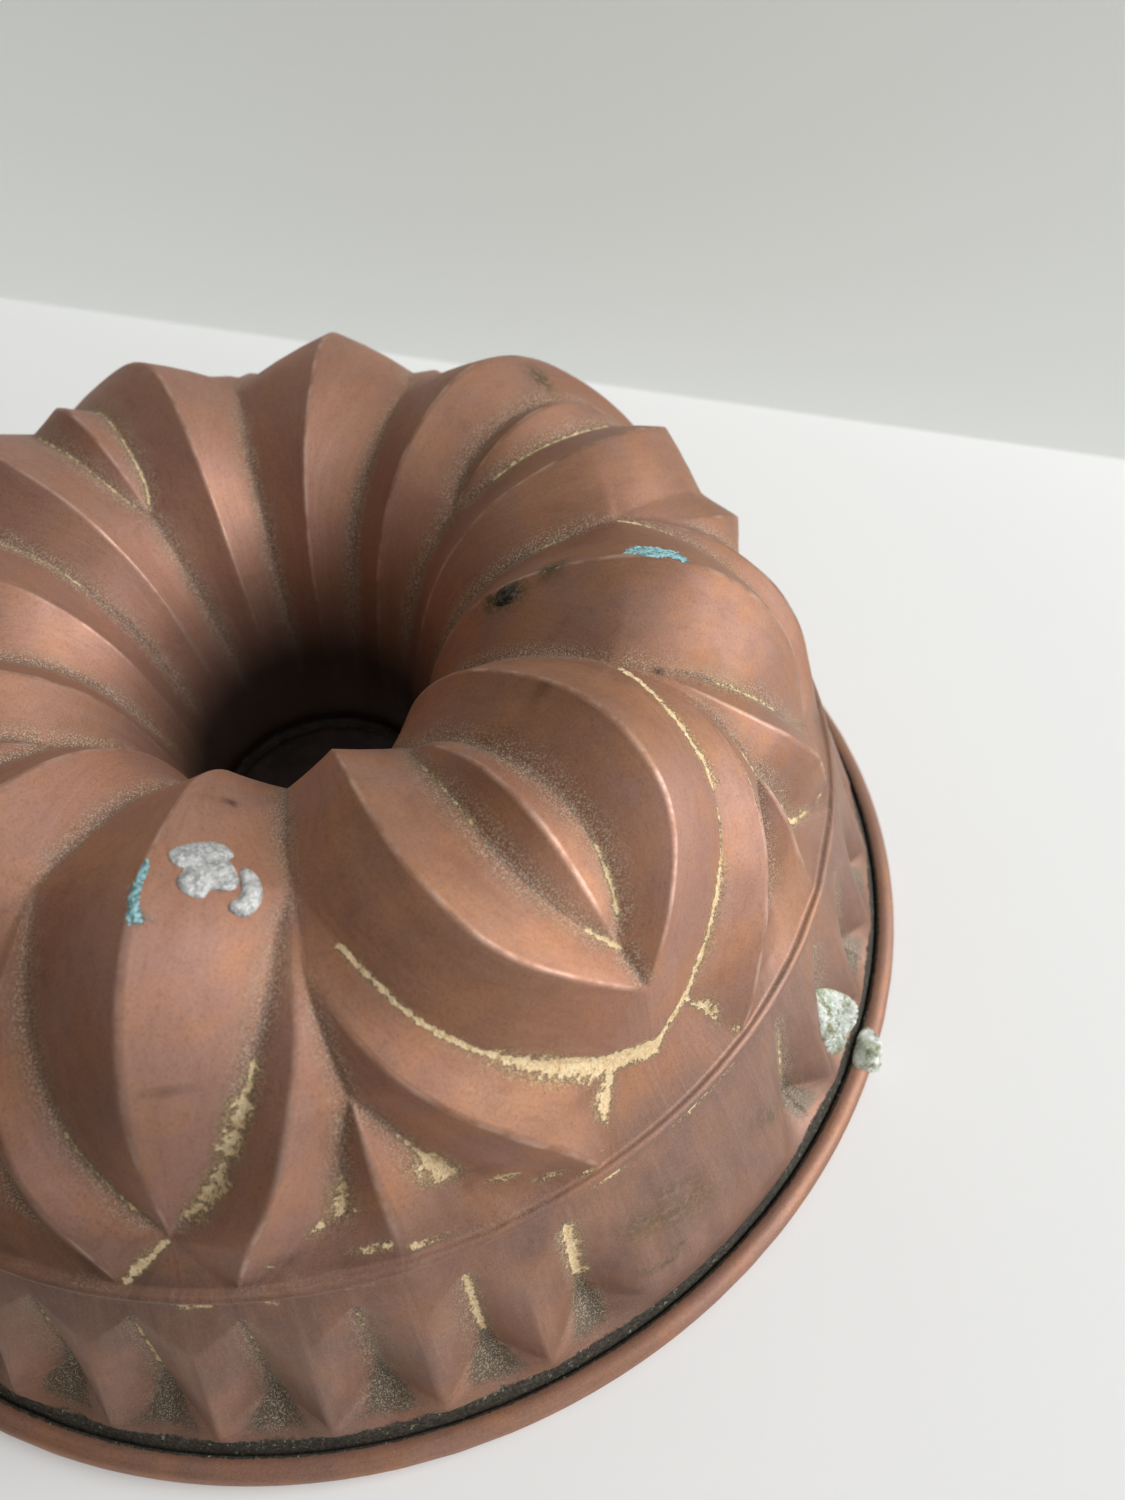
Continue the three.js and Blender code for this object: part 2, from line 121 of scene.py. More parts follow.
INNER_TIP_RIDGE = [
    [SPLIT, 16.3, 1.5], [88, 15.2, 2.2], [94, 14.6, 3.2], [100, 13.4, 4.3], [105, 12.1, 5.6],
    [110, 10.7, 6.5], [114, 9.4, 6.7], [118, 8.3, 6.2], [123, 7, 4.8], [127, 5.9, 3],
    [TIPS, 4.9, SKIRT_AT_TIPS],
]
TIP_VALLEY = [[SPLIT, 16.4, 1.5], [88, 16.2, 2], [95, 16.8, 2.2], [LEAF_TOP, 17.6, 2.2]]
LEAF_INNER_EDGE = [
    [LEAF_TOP, 17.6, 2.2], [109, 16.3, 1.4], [116, 15.1, 0.7], [LEAF_FOOT, 14.3, 0.5],
]
LEAF_RIDGE = [
    [LEAF_TOP, 17.8, 2.3], [107, 17.9, 3.3], [112, 17.9, 3.9], [118, 18, 3.9],
    [LEAF_FOOT, 18.1, 3.3], [127, 18.3, 2], [TIPS, 18.4, SKIRT_AT_TIPS],
]
LEAF_OUTER_EDGE = [
    [LEAF_TOP, 18, 2.2], [109, 19.7, 0.9], [115, 21.6, 0.7], [LEAF_FOOT, 23.8, 0.7],
]
OUTER_TIP_RIDGE = [
    [SPLIT, 16.6, 1.5], [88, 16.9, 2.2], [93, 18.3, 3.2], [98, 20.4, 4.6], [102, 22.4, 5.6],
    [107, 25.4, 6.6], [111, 27.9, 7.1], [115, 30, 7.3], [120, 32.2, 6.7], [124.4, 33.8, 5.4],
    [128, 35.1, 3.6], [TIPS, 36, SKIRT_AT_TIPS],
]
TWIN_EDGE = [
    [SPLIT, 16.8, 1.5], [81, 18.1, 2.3], [85, 19.9, 2.9], [91, 22.7, 3.7], [95, 24.5, 4.1],
    [102, 28.9, 4.1], [109, 34.4, 3.7], [CORNER, 40.3, 3.2],
]
TWIN_RIDGE = [
    [8, 30, 0], [20, 30, 0.5], [34, 29.8, 1.8], [48, 29.2, 3.9], [56, 28.6, 5.4],
    [62, 28.3, 6.5], [74, 28.3, 7.6], [80, 29.1, 8.4], [85, 30.6, 9], [91, 33, 9.2],
    [95, 35.6, 8.9], [99, 38.9, 8.4], [102.8, 42.1, 7.7], [MERGE, 45, 6.8],
]
EYE_EDGE = [
    [EYE_IN, 45, 0.3], [61.3, 42.2, 0.9], [66, 40.9, 1.5], [70, 40.4, 1.8], [77, 39.8, 2.1],
    [82, 39.7, 2.6], [87, 40.2, 3.4], [91, 41.2, 3.9], [95, 42.4, 4.2], [98.2, 43.6, 4.3],
    [EYE_OUT, 45, 4.5],
]
EYE_RIDGE = [
    [0, 45, 0], [30, 45, 0], [50, 45, 0.3], [EYE_IN, 45, 0.3], [61, 45, 1.4], [64, 45, 2.5],
    [68, 45, 3.8], [71.6, 45, 4.8], [74.8, 45, 5.6], [78, 45, 6.1], [81.6, 45, 6.5],
    [85, 45, 6.4], [89, 45, 5.8], [93, 45, 5.2], [97, 45, 4.8], [EYE_OUT, 45, 4.5],
]
SKIRT = [[CORNER, 3.1], [BOTTOM, 2.5], [PETAL_FOOT, 2.1], [TIPS, SKIRT_AT_TIPS]]
# straight lines below the petals
PETAL_TO_TIP = [[PETAL_FOOT, 0, 2.1], [TIPS, 4.85, SKIRT_AT_TIPS]]
INNER_FOOT_TO_TIP = [[LEAF_FOOT, 14.3, 0.5], [TIPS, 4.95, SKIRT_AT_TIPS]]
INNER_FOOT_TO_LEAF = [[LEAF_FOOT, 14.4, 0.5], [TIPS, 18.35, SKIRT_AT_TIPS]]
OUTER_FOOT_TO_LEAF = [[LEAF_FOOT, 23.8, 0.7], [TIPS, 18.45, SKIRT_AT_TIPS]]
OUTER_FOOT_TO_TIP = [[LEAF_FOOT, 23.9, 0.7], [TIPS, 35.9, SKIRT_AT_TIPS]]
CORNER_TO_TIP = [[CORNER, 40.3, 3.2], [TIPS, 36.1, SKIRT_AT_TIPS]]
CORNER_TO_BOTTOM = [[CORNER, 40.4, 3.2], [BOTTOM, 44.9, 2.5]]
MERGE_TO_BOTTOM = [[MERGE, 45, 6.8], [BOTTOM, 45, 2.5]]
EYE_TO_MERGE = [[EYE_OUT, 45, 4.5], [MERGE, 45, 6.8]]

# ---- half-round rib below the petals: station, radius, depth of its centre ----
RIB_AT, RIB_RADIUS, RIB_DEPTH = 132.0, 1.05, 0.75
RIB_FOOT = FLOOR_STATION[-1] - 0.06
HEIGHT_AT_RIB_FOOT = 0.25

# ---- chip-cut band: [height, radius] of the plain wall ----
PANEL = [
    [5.4, 105.3], [6.4, 105.2], [11.6, 104], [17.6, 101.8], [24.8, 98.7], [29.7, 96.4], [34.8, 93.9],
]
NOTCH_PITCH = 4.5       # from a ridge between two notches to the valley of the next
LAST_NOTCH = 31.5       # angle of the last valley
PANEL_EDGE = 36.8       # angle from which the wall is plain
CHIP_TOP = {"ridge": (98.4, 25.0), "valley": (95.4, 31.7)}      # radius, height
CHIP_FOOT = {"ridge": (104.8, 7.8), "valley": (98.3, 10.0)}
PANEL_TOP_Z, PANEL_FOOT_Z = 27.0, 9.5
GROOVE_Z = 5.4
BAND_DIVISIONS = (7, 16, 6)     # rows above the cuts, over them and below them


def curve(table, at):
    """Smooth curve through the rows of a table, held at its ends. Gives one row of values per station."""
    t = np.asarray(table, float)
    x, y = t[:, 0], t[:, 1:]
    rise = np.diff(y, axis=0) / np.diff(x)[:, None]
    slope = np.vstack([rise[:1], (rise[:-1] + rise[1:]) / 2, rise[-1:]])
    at = np.clip(np.atleast_1d(np.asarray(at, float)), x[0], x[-1])
    i = np.clip(np.searchsorted(x, at, side="right") - 1, 0, len(x) - 2)
    width = (x[i + 1] - x[i])[:, None]
    u = (at - x[i])[:, None] / width
    return (
        (2 * u**3 - 3 * u**2 + 1) * y[i] + (u**3 - 2 * u**2 + u) * width * slope[i]
        + (-2 * u**3 + 3 * u**2) * y[i + 1] + (u**3 - u**2) * width * slope[i + 1]
    )


def floor_frame(station):
    """Point on the floor and the direction away from the sheet, as [radius, height] rows."""
    table = np.column_stack([FLOOR_STATION, FLOOR])
    point = curve(table, station)
    along = curve(table, np.asarray(station) + 0.05) - curve(table, np.asarray(station) - 0.05)
    along /= np.linalg.norm(along, axis=1, keepdims=True)
    return point, np.column_stack([-along[:, 1], along[:, 0]])


def breakpoints(s):
    """The relief across half a sector at one station: [angle, height] rows in order."""
    skirt = curve(SKIRT, s)[0][0]
    if s >= TIPS:
        return np.array([[0, skirt], [HALF_SECTOR, skirt]])
    rows = [curve(PETAL_RIDGE, s)[0] if s < PETAL_FOOT else [0, skirt]]
    if s <= SPLIT:
        rows.append(curve(THROAT_VALLEY, s)[0])
    else:
        rows.append(curve(PETAL_EDGE if s < PETAL_FOOT else PETAL_TO_TIP, s)[0])
        rows.append(curve(INNER_TIP_RIDGE, s)[0])
        if s < LEAF_TOP:
            lines = [TIP_VALLEY]
        elif s < LEAF_FOOT:
            lines = [LEAF_INNER_EDGE, LEAF_RIDGE, LEAF_OUTER_EDGE]
        else:
            lines = [INNER_FOOT_TO_TIP, INNER_FOOT_TO_LEAF, LEAF_RIDGE, OUTER_FOOT_TO_LEAF, OUTER_FOOT_TO_TIP]
        lines += [OUTER_TIP_RIDGE, TWIN_EDGE if s < CORNER else CORNER_TO_TIP]
        rows += [curve(line, s)[0] for line in lines]
    if s < MERGE:
        rows.append(curve(TWIN_RIDGE, s)[0])
        if EYE_IN < s < EYE_OUT:
            rows.append(curve(EYE_EDGE, s)[0])
        rows.append(curve(EYE_RIDGE if s < EYE_OUT else EYE_TO_MERGE, s)[0])
    elif s < BOTTOM:
        if s > CORNER:
            rows.append(curve(CORNER_TO_BOTTOM, s)[0])
        rows.append(curve(MERGE_TO_BOTTOM, s)[0])
    else:
        rows.append([HALF_SECTOR, skirt])
    return np.array(rows)


FACE_SWELL = 0.03      # how far a face bows out between a ridge and a valley, as a share of their drop


def relief(s, angles):
    """Height of the relief above the floor at one station, for several angles."""
    rows = breakpoints(s)
    at = np.maximum.accumulate(rows[:, 0] + np.arange(len(rows)) * 1e-6)
    height = np.interp(angles, at, rows[:, 1])
    i = np.clip(np.searchsorted(at, angles) - 1, 0, len(at) - 2)
    u = np.clip((angles - at[i]) / (at[i + 1] - at[i]), 0, 1)
    return height + FACE_SWELL * 4 * u * (1 - u) * np.abs(rows[i + 1, 1] - rows[i, 1])


# ---- columns: main lines kept on ridges and valleys, each interval divided further ----
DIVISIONS = [5, 4, 4, 3, 3, 5, 4, 5, 4, 3]
MAIN = len(DIVISIONS)   # number of the last main line, counted from 0
HALF_COLUMNS = sum(DIVISIONS)
COLUMNS = 2 * SECTORS * HALF_COLUMNS
MAIN_AT = np.r_[0, np.cumsum(DIVISIONS)]
MIN_STEP = 0.5          # least angle between main lines
EDGE_STEP = 0.6         # distance from a main line to the columns beside it
MEAN_RADIUS = 85.0      # at which angles are turned into widths
BESIDE_VALLEY = 0.4     # angle of the spare main lines beside the valley above the leaf
THROAT_FADE = 22        # stations over which the throat's even columns pass into the petals' lines


def divided(main, widths=None):
    """Values at all columns over half a sector from those at the main lines, closer beside them."""
    main = np.asarray(main, float)
    widths = np.diff(main) * math.pi / 180 * MEAN_RADIUS if widths is None else widths
    values = []
    for k, count in enumerate(DIVISIONS):
        edge = min(EDGE_STEP / max(widths[k], 1e-6), 1 / count)
        shares = [0] + [edge + (1 - 2 * edge) * i / max(count - 2, 1) for i in range(count - 1)]
        values += [main[k] + (main[k + 1] - main[k]) * share for share in shares]
    return np.array(values + [main[MAIN]])


def crown_angles(s):
    """Angles of the columns at one station of the crown."""
    def line(table, after, foot, tip):
        return curve(table, s)[0][0] if s < after else float(np.interp(s, [after, TIPS], [foot, tip]))

    above_leaf = s < LEAF_TOP
    tip_valley = curve(TIP_VALLEY, s)[0][0]
    lower = [
        0,
        line(PETAL_EDGE, PETAL_FOOT, 0, 4.3),
        curve(INNER_TIP_RIDGE, s)[0][0],
        tip_valley - BESIDE_VALLEY if above_leaf else line(LEAF_INNER_EDGE, LEAF_FOOT, 14.3, 8),
        tip_valley if above_leaf else curve(LEAF_RIDGE, s)[0][0],
        tip_valley + BESIDE_VALLEY if above_leaf else line(LEAF_OUTER_EDGE, LEAF_FOOT, 23.8, 26),
        curve(OUTER_TIP_RIDGE, s)[0][0],
        line(TWIN_EDGE, CORNER, 40.3, 37.5),
        curve(TWIN_RIDGE, s)[0][0] if s < MERGE else 43,
        37.5 if s < EYE_IN else curve(EYE_EDGE, s)[0][0] if s < MERGE else 44,
        HALF_SECTOR,
    ]
    valley = curve(THROAT_VALLEY, s)[0][0]
    ridge = curve(TWIN_RIDGE, s)[0][0]
    upper = [valley * k / 4 for k in range(5)]
    upper += [valley + (ridge - valley) * k / 4 for k in (1, 2, 3)]
    upper += lower[8:]
    share = float(np.clip((SPLIT - s) / THROAT_FADE, 0, 1))
    angles = [a + (b - a) * share for a, b in zip(lower, upper)]
    for k in range(1, MAIN + 1):
        angles[k] = max(angles[k], angles[k - 1] + MIN_STEP)
    angles[MAIN] = HALF_SECTOR
    for k in range(MAIN - 1, 0, -1):
        angles[k] = min(angles[k], angles[k + 1] - MIN_STEP)
    return divided(angles)


BAND_MAIN = [k * NOTCH_PITCH for k in range(8)] + [PANEL_EDGE, 41.0, HALF_SECTOR]
BAND_ANGLES = divided(BAND_MAIN)
BAND_WIDTHS = np.diff(BAND_MAIN) * math.pi / 180 * MEAN_RADIUS

# ---- rows of the section; each is (angles, radii, heights) over half a sector ----


def crown_row(s, lift=0.0):
    """Row over the flutes and petals at one station."""
    angles = crown_angles(s)
    point, out = floor_frame(s)
    height = relief(s, angles) + lift
    return angles, point[0, 0] + out[0, 0] * height, point[0, 1] + out[0, 1] * height


def rib_row(s, lift=0.0):
    """Row over the rib, where the columns pass from the petals' lines to the band's."""
    share = (s - TIPS) / (RIB_FOOT - TIPS)
    base = float(np.interp(s, [TIPS, RIB_FOOT], [SKIRT_AT_TIPS, HEIGHT_AT_RIB_FOOT]))
    inside = RIB_RADIUS**2 - (s - RIB_AT)**2
    height = max(base, RIB_DEPTH + math.sqrt(inside)) if inside > 0 else base
    point, out = floor_frame(s)
    radius, z = point[0] + out[0] * (height + lift)
    angles = crown_angles(TIPS - 0.01) * (1 - share) + BAND_ANGLES * share
    return angles, np.full(len(angles), radius), np.full(len(angles), z)


def zigzag(corners, panel_z):
    """Radius and height along the edge that the chip cuts make, over half a sector."""
    kinds = ["ridge" if k % 2 == 0 else "valley" for k in range(8)]
    radius = [corners[kind][0] for kind in kinds] + [curve(PANEL, panel_z)[0][0]] * 3
    z = [corners[kind][1] for kind in kinds] + [panel_z] * 3
    return divided(radius, BAND_WIDTHS), divided(z, BAND_WIDTHS)


def band_rows(start, inset=0.0):
    """Rows from the rib's foot over the chip cuts to the groove above the rolled edge."""
    level = np.ones(HALF_COLUMNS + 1)
    knots = [
        (start[1], start[2]),
        zigzag(CHIP_TOP, PANEL_TOP_Z),
        zigzag(CHIP_FOOT, PANEL_FOOT_Z),
        (curve(PANEL, GROOVE_Z)[0][0] * level, GROOVE_Z * level),
    ]
    on_panel = np.clip((BAND_ANGLES - LAST_NOTCH) / (PANEL_EDGE - LAST_NOTCH), 0, 1)
    rows = []
    for (r0, z0), (r1, z1), count in zip(knots, knots[1:], BAND_DIVISIONS):
        for u in np.r_[np.linspace(0.04, 0.96, count - 1), 1]:
            r, z = r0 + (r1 - r0) * u, z0 + (z1 - z0) * u
            plain = curve(PANEL, z)[:, 0]
            r = np.where(on_panel >= 1, plain, r + (plain - r) * (on_panel > 0) * on_panel**3)
            rows.append((BAND_ANGLES, r - inset, z))
    return rows


def roll_row(radius, degrees):
    """Row round the rolled edge, at an angle measured upwards from the outward direction."""
    level = np.ones(HALF_COLUMNS + 1)
    turn = math.radians(degrees)
    z = max(WIRE_Z + radius * math.sin(turn), 0.0)
    return BAND_ANGLES, (WIRE_R + radius * math.cos(turn)) * level, z * level


def full_ring(row):
    """Mirrors a half-sector row and repeats it round the axis. Gives x, y, z rows."""
    angles, r, z = row
    forward, back = slice(0, HALF_COLUMNS), slice(HALF_COLUMNS, 0, -1)
    turn = np.concatenate([
        np.r_[axis + angles[forward], axis + 90 - angles[back]]
        for axis in FIRST_PETAL + 90.0 * np.arange(SECTORS)
    ])
    r, z = (np.tile(np.r_[v[forward], v[back]], SECTORS) for v in (r, z))
    turn = np.radians(turn)
    return np.column_stack([r * np.cos(turn), r * np.sin(turn), z])


def ring_grid(rows):
    """Grid of the whole ring from its half-sector rows."""
    return np.array([full_ring(row) for row in rows])


def neighbours_mean(grid):
    """Mean of the four neighbours of each point of a grid that closes round the axis."""
    above = np.vstack([grid[:1], grid[:-1]])
    below = np.vstack([grid[1:], grid[-1:]])
    return (above + below + np.roll(grid, 1, axis=1) + np.roll(grid, -1, axis=1)) / 4


def grid_normals(grid):
    """Unit normals of a grid, pointing away from the sheet's show side."""
    down = np.gradient(grid, axis=0)
    across = (np.roll(grid, -1, axis=1) - np.roll(grid, 1, axis=1)) / 2
    normal = np.cross(down, across)
    return normal / np.maximum(np.linalg.norm(normal, axis=2, keepdims=True), 1e-9)


def worn(grid, amount):
    """The grid with its inner rows drawn towards the mean of their neighbours."""
    grid[1:-1] += (neighbours_mean(grid) - grid)[1:-1] * amount
    return grid


SHOW_STATIONS = np.r_[np.linspace(0, EYE_IN, 26, endpoint=False), np.linspace(EYE_IN, TIPS, 130)]
RIB_STATIONS = np.linspace(TIPS, RIB_FOOT, 11)[1:]
INNER_STATIONS = np.linspace(0, TIPS, 54)
SHOW_WEAR, INNER_WEAR = 0.3, 0.5
INNER_WALL_INSET = 0.68
# angles of the rows round the wire: the face that holds it, then the outer face before and after the
# flat land that the pan rests on
CURL_TURNS = range(185, 493, 44)
ROLL_TURNS, AFTER_LAND_TURNS = np.linspace(132, -72, 24), np.linspace(-108, -175, 7)


def show_side():
    """Grid of the show side, from the throat to the groove, with its edges worn round."""
    rows = [crown_row(s) for s in SHOW_STATIONS] + [rib_row(s) for s in RIB_STATIONS]
    return worn(ring_grid(rows + band_rows(rows[-1])), SHOW_WEAR)


def inner_side():
    """Grid of the tinned inside, from the groove back up to the throat."""
    rows = [crown_row(s, -SHEET) for s in INNER_STATIONS]
    rows += [rib_row(s, -SHEET) for s in RIB_STATIONS[::3]]
    rows += band_rows(rows[-1], INNER_WALL_INSET)[1::3]
    return worn(ring_grid(rows), INNER_WEAR)[::-1]


def rolled_edge():
    """Grid of the sheet where it wraps the wire, from the groove under the rim to the inside."""
    rows = [roll_row(ROLL_RADIUS - SHEET, degrees) for degrees in CURL_TURNS]
    rows += [roll_row(ROLL_RADIUS, degrees) for degrees in (*ROLL_TURNS, *AFTER_LAND_TURNS)]
    return ring_grid(rows)


# ---- meshes ----


def make_object(name, points, faces, *materials, smooth=True):
    """Object from points in millimetres."""
    mesh = bpy.data.meshes.new(name)
    mesh.from_pydata((np.asarray(points) * MM).tolist(), [], [list(map(int, f)) for f in faces])
    mesh.update()
    mesh.validate()
    mesh.polygons.foreach_set("use_smooth", [smooth] * len(mesh.polygons))
    for material in materials:
        mesh.materials.append(material)
    piece = bpy.data.objects.new(name, mesh)
    bpy.context.scene.collection.objects.link(piece)
    return piece


def ring_faces(rows, columns):
    """Quads of a grid that closes both ways, like a ring's skin."""
    i, j = np.meshgrid(np.arange(rows), np.arange(columns), indexing="ij")
    below, right = (i + 1) % rows, (j + 1) % columns
    corners = [(i, j), (below, j), (below, right), (i, right)]
    return np.stack([row * columns + column for row, column in corners], -1).reshape(-1, 4)


def set_attribute(piece, name, values):
    """Stores one number, or three, for each vertex."""
    values = np.asarray(values, np.float32)
    kind, field = ("FLOAT", "value") if values.ndim == 1 else ("FLOAT_VECTOR", "vector")
    layer = piece.data.attributes.new(name, kind, "POINT")
    layer.data.foreach_set(field, values.ravel())


# ---- marks that age has left, as lines on the surface ----


def surface_point(turn, s):
    """Point on the crown in a direction, at a station."""
    sector = (turn - FIRST_PETAL) % 90
    angle = sector if sector <= HALF_SECTOR else 90 - sector
    point, out = floor_frame(s)
    r, z = point[0] + out[0] * relief(s, np.array([angle]))[0]
    return np.array([r * math.cos(math.radians(turn)), r * math.sin(math.radians(turn)), z])


def along_line(table, petal, side, start, end):
    """Points along a feature line of one petal; side is the direction of its angles."""
    points = []
    for s in np.linspace(start, end, max(int(abs(end - start)), 2) + 1):
        turn = FIRST_PETAL + 90 * petal + side * curve(table, s)[0][0]
        points.append(surface_point(turn, s))
    return np.array(points)


def band_line(turn, top, foot):
    """Points down a valley of the chip-cut band."""
    z = np.linspace(top, foot, 8)
    (foot_r, foot_z), (top_r, top_z) = CHIP_FOOT["valley"], CHIP_TOP["valley"]
    r = np.interp(z, [foot_z, top_z], [foot_r, top_r])
    angle = math.radians(turn)
    return np.column_stack([r * math.cos(angle), r * math.sin(angle), z])


def band_point(turn, z):
    """Point on a smooth panel of the band."""
    r, angle = curve(PANEL, z)[0][0], math.radians(turn)
    return r * math.cos(angle), r * math.sin(angle), z


def closeness(points, line, width):
    """1 on a line, falling to 0 over about twice the width."""
    value = np.zeros(len(points))
    low, high = line.min(0) - 3 * width, line.max(0) + 3 * width
    near = np.where(((points > low) & (points < high)).all(1))[0]
    if len(near) == 0:
        return value
    p = points[near]
    best = np.full(len(near), 1e9)
    for a, b in zip(line, line[1:]) if len(line) > 1 else [(line[0], line[0] + 1e-3)]:
        d = b - a
        u = np.clip((p - a) @ d / max(d @ d, 1e-9), 0, 1)
        best = np.minimum(best, np.linalg.norm(p - a - u[:, None] * d, axis=1))
    value[near] = np.exp(-(best / width)**2)
    return value


# Polish left in valleys: feature line, petal, side, from, to, half width, amount.
LEFTOVER_POLISH = [
    (TWIN_EDGE, 0, 1, 86, 98, 0.55, 0.9), (TWIN_EDGE, 0, 1, 98, 108, 0.6, 0.9),
    (TWIN_EDGE, 0, 1, 104, 107, 0.8, 0.9), (TWIN_EDGE, 0, 1, 106.5, 109.5, 0.95, 1.0),
    (TWIN_EDGE, 0, 1, 109, 115.7, 1.25, 1.05), (CORNER_TO_BOTTOM, 0, 1, 115.7, 119.4, 1.8, 1.2),
    (CORNER_TO_TIP, 0, 1, 115.7, 123, 1.1, 1.0), (CORNER_TO_TIP, 0, 1, 123, 128.5, 0.6, 0.8),
    (TWIN_EDGE, 1, -1, 79, 97, 0.75, 0.85), (TWIN_EDGE, 1, -1, 99, 104, 0.5, 0.6),
    (TWIN_EDGE, 1, -1, 104, 115.7, 0.7, 0.85), (CORNER_TO_TIP, 1, -1, 115.7, 130, 0.75, 0.75),
    (CORNER_TO_BOTTOM, 1, -1, 115.7, 119.4, 1.2, 0.8),
    (PETAL_EDGE, 0, 1, 97, 102, 0.8, 0.9), (PETAL_EDGE, 0, 1, 101, 108, 1.5, 0.8),
    (PETAL_EDGE, 0, 1, 108, 112, 0.7, 0.7), (PETAL_EDGE, 0, 1, 111, 118, 2.2, 0.66),
    (PETAL_TO_TIP, 0, -1, 123, 130, 0.8, 0.9), (PETAL_EDGE, 0, -1, 105, 118, 0.7, 0.6),
    (INNER_FOOT_TO_TIP, 0, 1, 121.5, 128, 0.6, 0.7), (LEAF_INNER_EDGE, 0, 1, 117, 121.5, 1.3, 0.7),
    (INNER_FOOT_TO_LEAF, 0, 1, 121.5, 124, 0.9, 0.6), (INNER_FOOT_TO_LEAF, 0, 1, 124, 128, 1.2, 1.0),
    (LEAF_OUTER_EDGE, 0, 1, 112, 118, 0.6, 0.65), (LEAF_OUTER_EDGE, 0, 1, 117, 120.5, 1.5, 1.0),
    (OUTER_FOOT_TO_LEAF, 0, 1, 125, 129.5, 0.8, 0.95), (OUTER_FOOT_TO_TIP, 0, 1, 124, 130.5, 0.8, 0.85),
    (EYE_EDGE, 0, 1, 62, 80, 0.6, 0.6), (EYE_EDGE, 0, 1, 97, 101, 0.6, 0.9),
    (EYE_EDGE, 1, -1, 90, 98, 0.6, 0.8), (PETAL_EDGE, 1, -1, 92, 106, 0.7, 0.65),
    (OUTER_TIP_RIDGE, 1, -1, 99, 105, 0.5, 0.5), (LEAF_OUTER_EDGE, 1, -1, 100, 106, 0.8, 0.7),
    (LEAF_INNER_EDGE, 1, -1, 115, 121.5, 0.8, 0.85), (INNER_FOOT_TO_TIP, 1, -1, 121.5, 128, 0.8, 0.8),
    (EYE_EDGE, 1, 1, 66, 90, 0.6, 0.75), (PETAL_EDGE, 1, 1, 78, 86, 0.6, 0.7),
    (THROAT_VALLEY, 1, 1, 64, 70, 0.5, 0.6), (EYE_EDGE, 2, 1, 58, 84, 0.55, 0.7),
    (EYE_EDGE, 3, -1, 60, 88, 0.55, 0.6), (THROAT_VALLEY, 3, -1, 54, 70, 0.5, 0.6),
    (PETAL_EDGE, 3, 1, 78, 96, 0.6, 0.6), (TWIN_EDGE, 2, -1, 84, 110, 0.6, 0.7),
    (TWIN_EDGE, 3, 1, 90, 115, 0.7, 0.8), (CORNER_TO_TIP, 2, 1, 116, 128, 0.7, 0.8),
    (TWIN_EDGE, 3, -1, 88, 112, 0.7, 0.75), (LEAF_INNER_EDGE, 2, 1, 112, 121, 0.8, 0.8),
    (LEAF_OUTER_EDGE, 3, 1, 110, 121, 0.8, 0.8), (CORNER_TO_BOTTOM, 3, 1, 115.7, 119.4, 1.2, 1.0),
]
# The same in the valleys of the band: turn, top, foot, half width, amount.
BAND_POLISH = [
    (-112.5, 30.5, 14, 0.8, 1.0), (-103.5, 30.5, 16, 1.0, 1.1), (-121.5, 30, 15, 0.5, 0.5),
    (-130.5, 28, 20, 0.4, 0.5), (-139.5, 30, 15, 0.6, 0.7), (-148.5, 30, 18, 0.5, 0.5),
    (-76.5, 29, 14, 0.6, 0.6), (-49.5, 30, 14, 0.7, 0.8), (-22.5, 30, 16, 0.7, 0.9),
    (31.5, 30, 14, 0.8, 0.8), (58.5, 30, 15, 0.6, 0.8), (112.5, 30, 13, 0.8, 0.9),
    (148.5, 30, 14, 0.7, 0.8), (-157.5, 30, 13, 0.7, 0.8),
]
# Polish under the rib: from turn, to turn, amount.
RIB_POLISH = [
    (-146, -141, 0.5), (-135.7, -132.3, 0.95), (-129, -126.5, 0.8), (-123.5, -119, 0.55),
    (-101, -96, 0.8), (-92, -82, 0.85), (-70, -60, 0.7), (10, 22, 0.8), (70, 84, 0.7), (130, 141, 0.8),
    (165, 174, 0.8),
]
# Verdigris: line of turns and stations, half width, amount.
VERDIGRIS = [
    ([(-134.8, 76.2), (-134.9, 79), (-134.6, 82)], 0.5, 1.5),
    ([(-135.5, 78.4), (-135.3, 81.3)], 0.6, 0.7),
    ([(-43.9, 78.6), (-44, 80.6)], 1.3, 1.5), ([(-43.8, 77), (-44.1, 80), (-44.7, 83.6)], 0.7, 1.3),
]
# Dark green stains: the same.
GREEN_STAINS = [
    ([(7.4, 83), (9.6, 89)], 1.5, 0.9), ([(-45, 66.5), (-44.6, 69)], 0.8, 1.0),
    ([(-47.2, 58.5), (-47.2, 62.5)], 1.9, 0.9), ([(-132.2, 71.4), (-131.8, 72.6)], 0.6, 0.8),
    ([(-42.5, 72), (-42.2, 79)], 0.8, 0.6),
]
# Smears on the smooth panels of the band: line of turns and heights, half width, amount.
PANEL_SMEARS = [
    ([(-101.4, 20.5), (-101, 17.5), (-101.4, 14.5)], 0.5, 0.75),
    ([(-99, 14.6), (-96.5, 13.8), (-94.5, 14.6)], 0.6, 0.7),
    ([(-97.5, 23.5), (-94.5, 21.5), (-91.5, 20)], 3.2, 0.42), ([(-95, 26), (-92, 24.5)], 1.4, 0.35),
    ([(-83, 22), (-80.5, 18)], 1.6, 0.4), ([(-6, 24), (-2, 17), (1, 16)], 2.2, 0.4),
    ([(4, 12), (6.5, 13)], 0.5, 0.7), ([(86, 22), (92, 18)], 2.4, 0.4), ([(176, 25), (181, 15)], 2.0, 0.4),
]
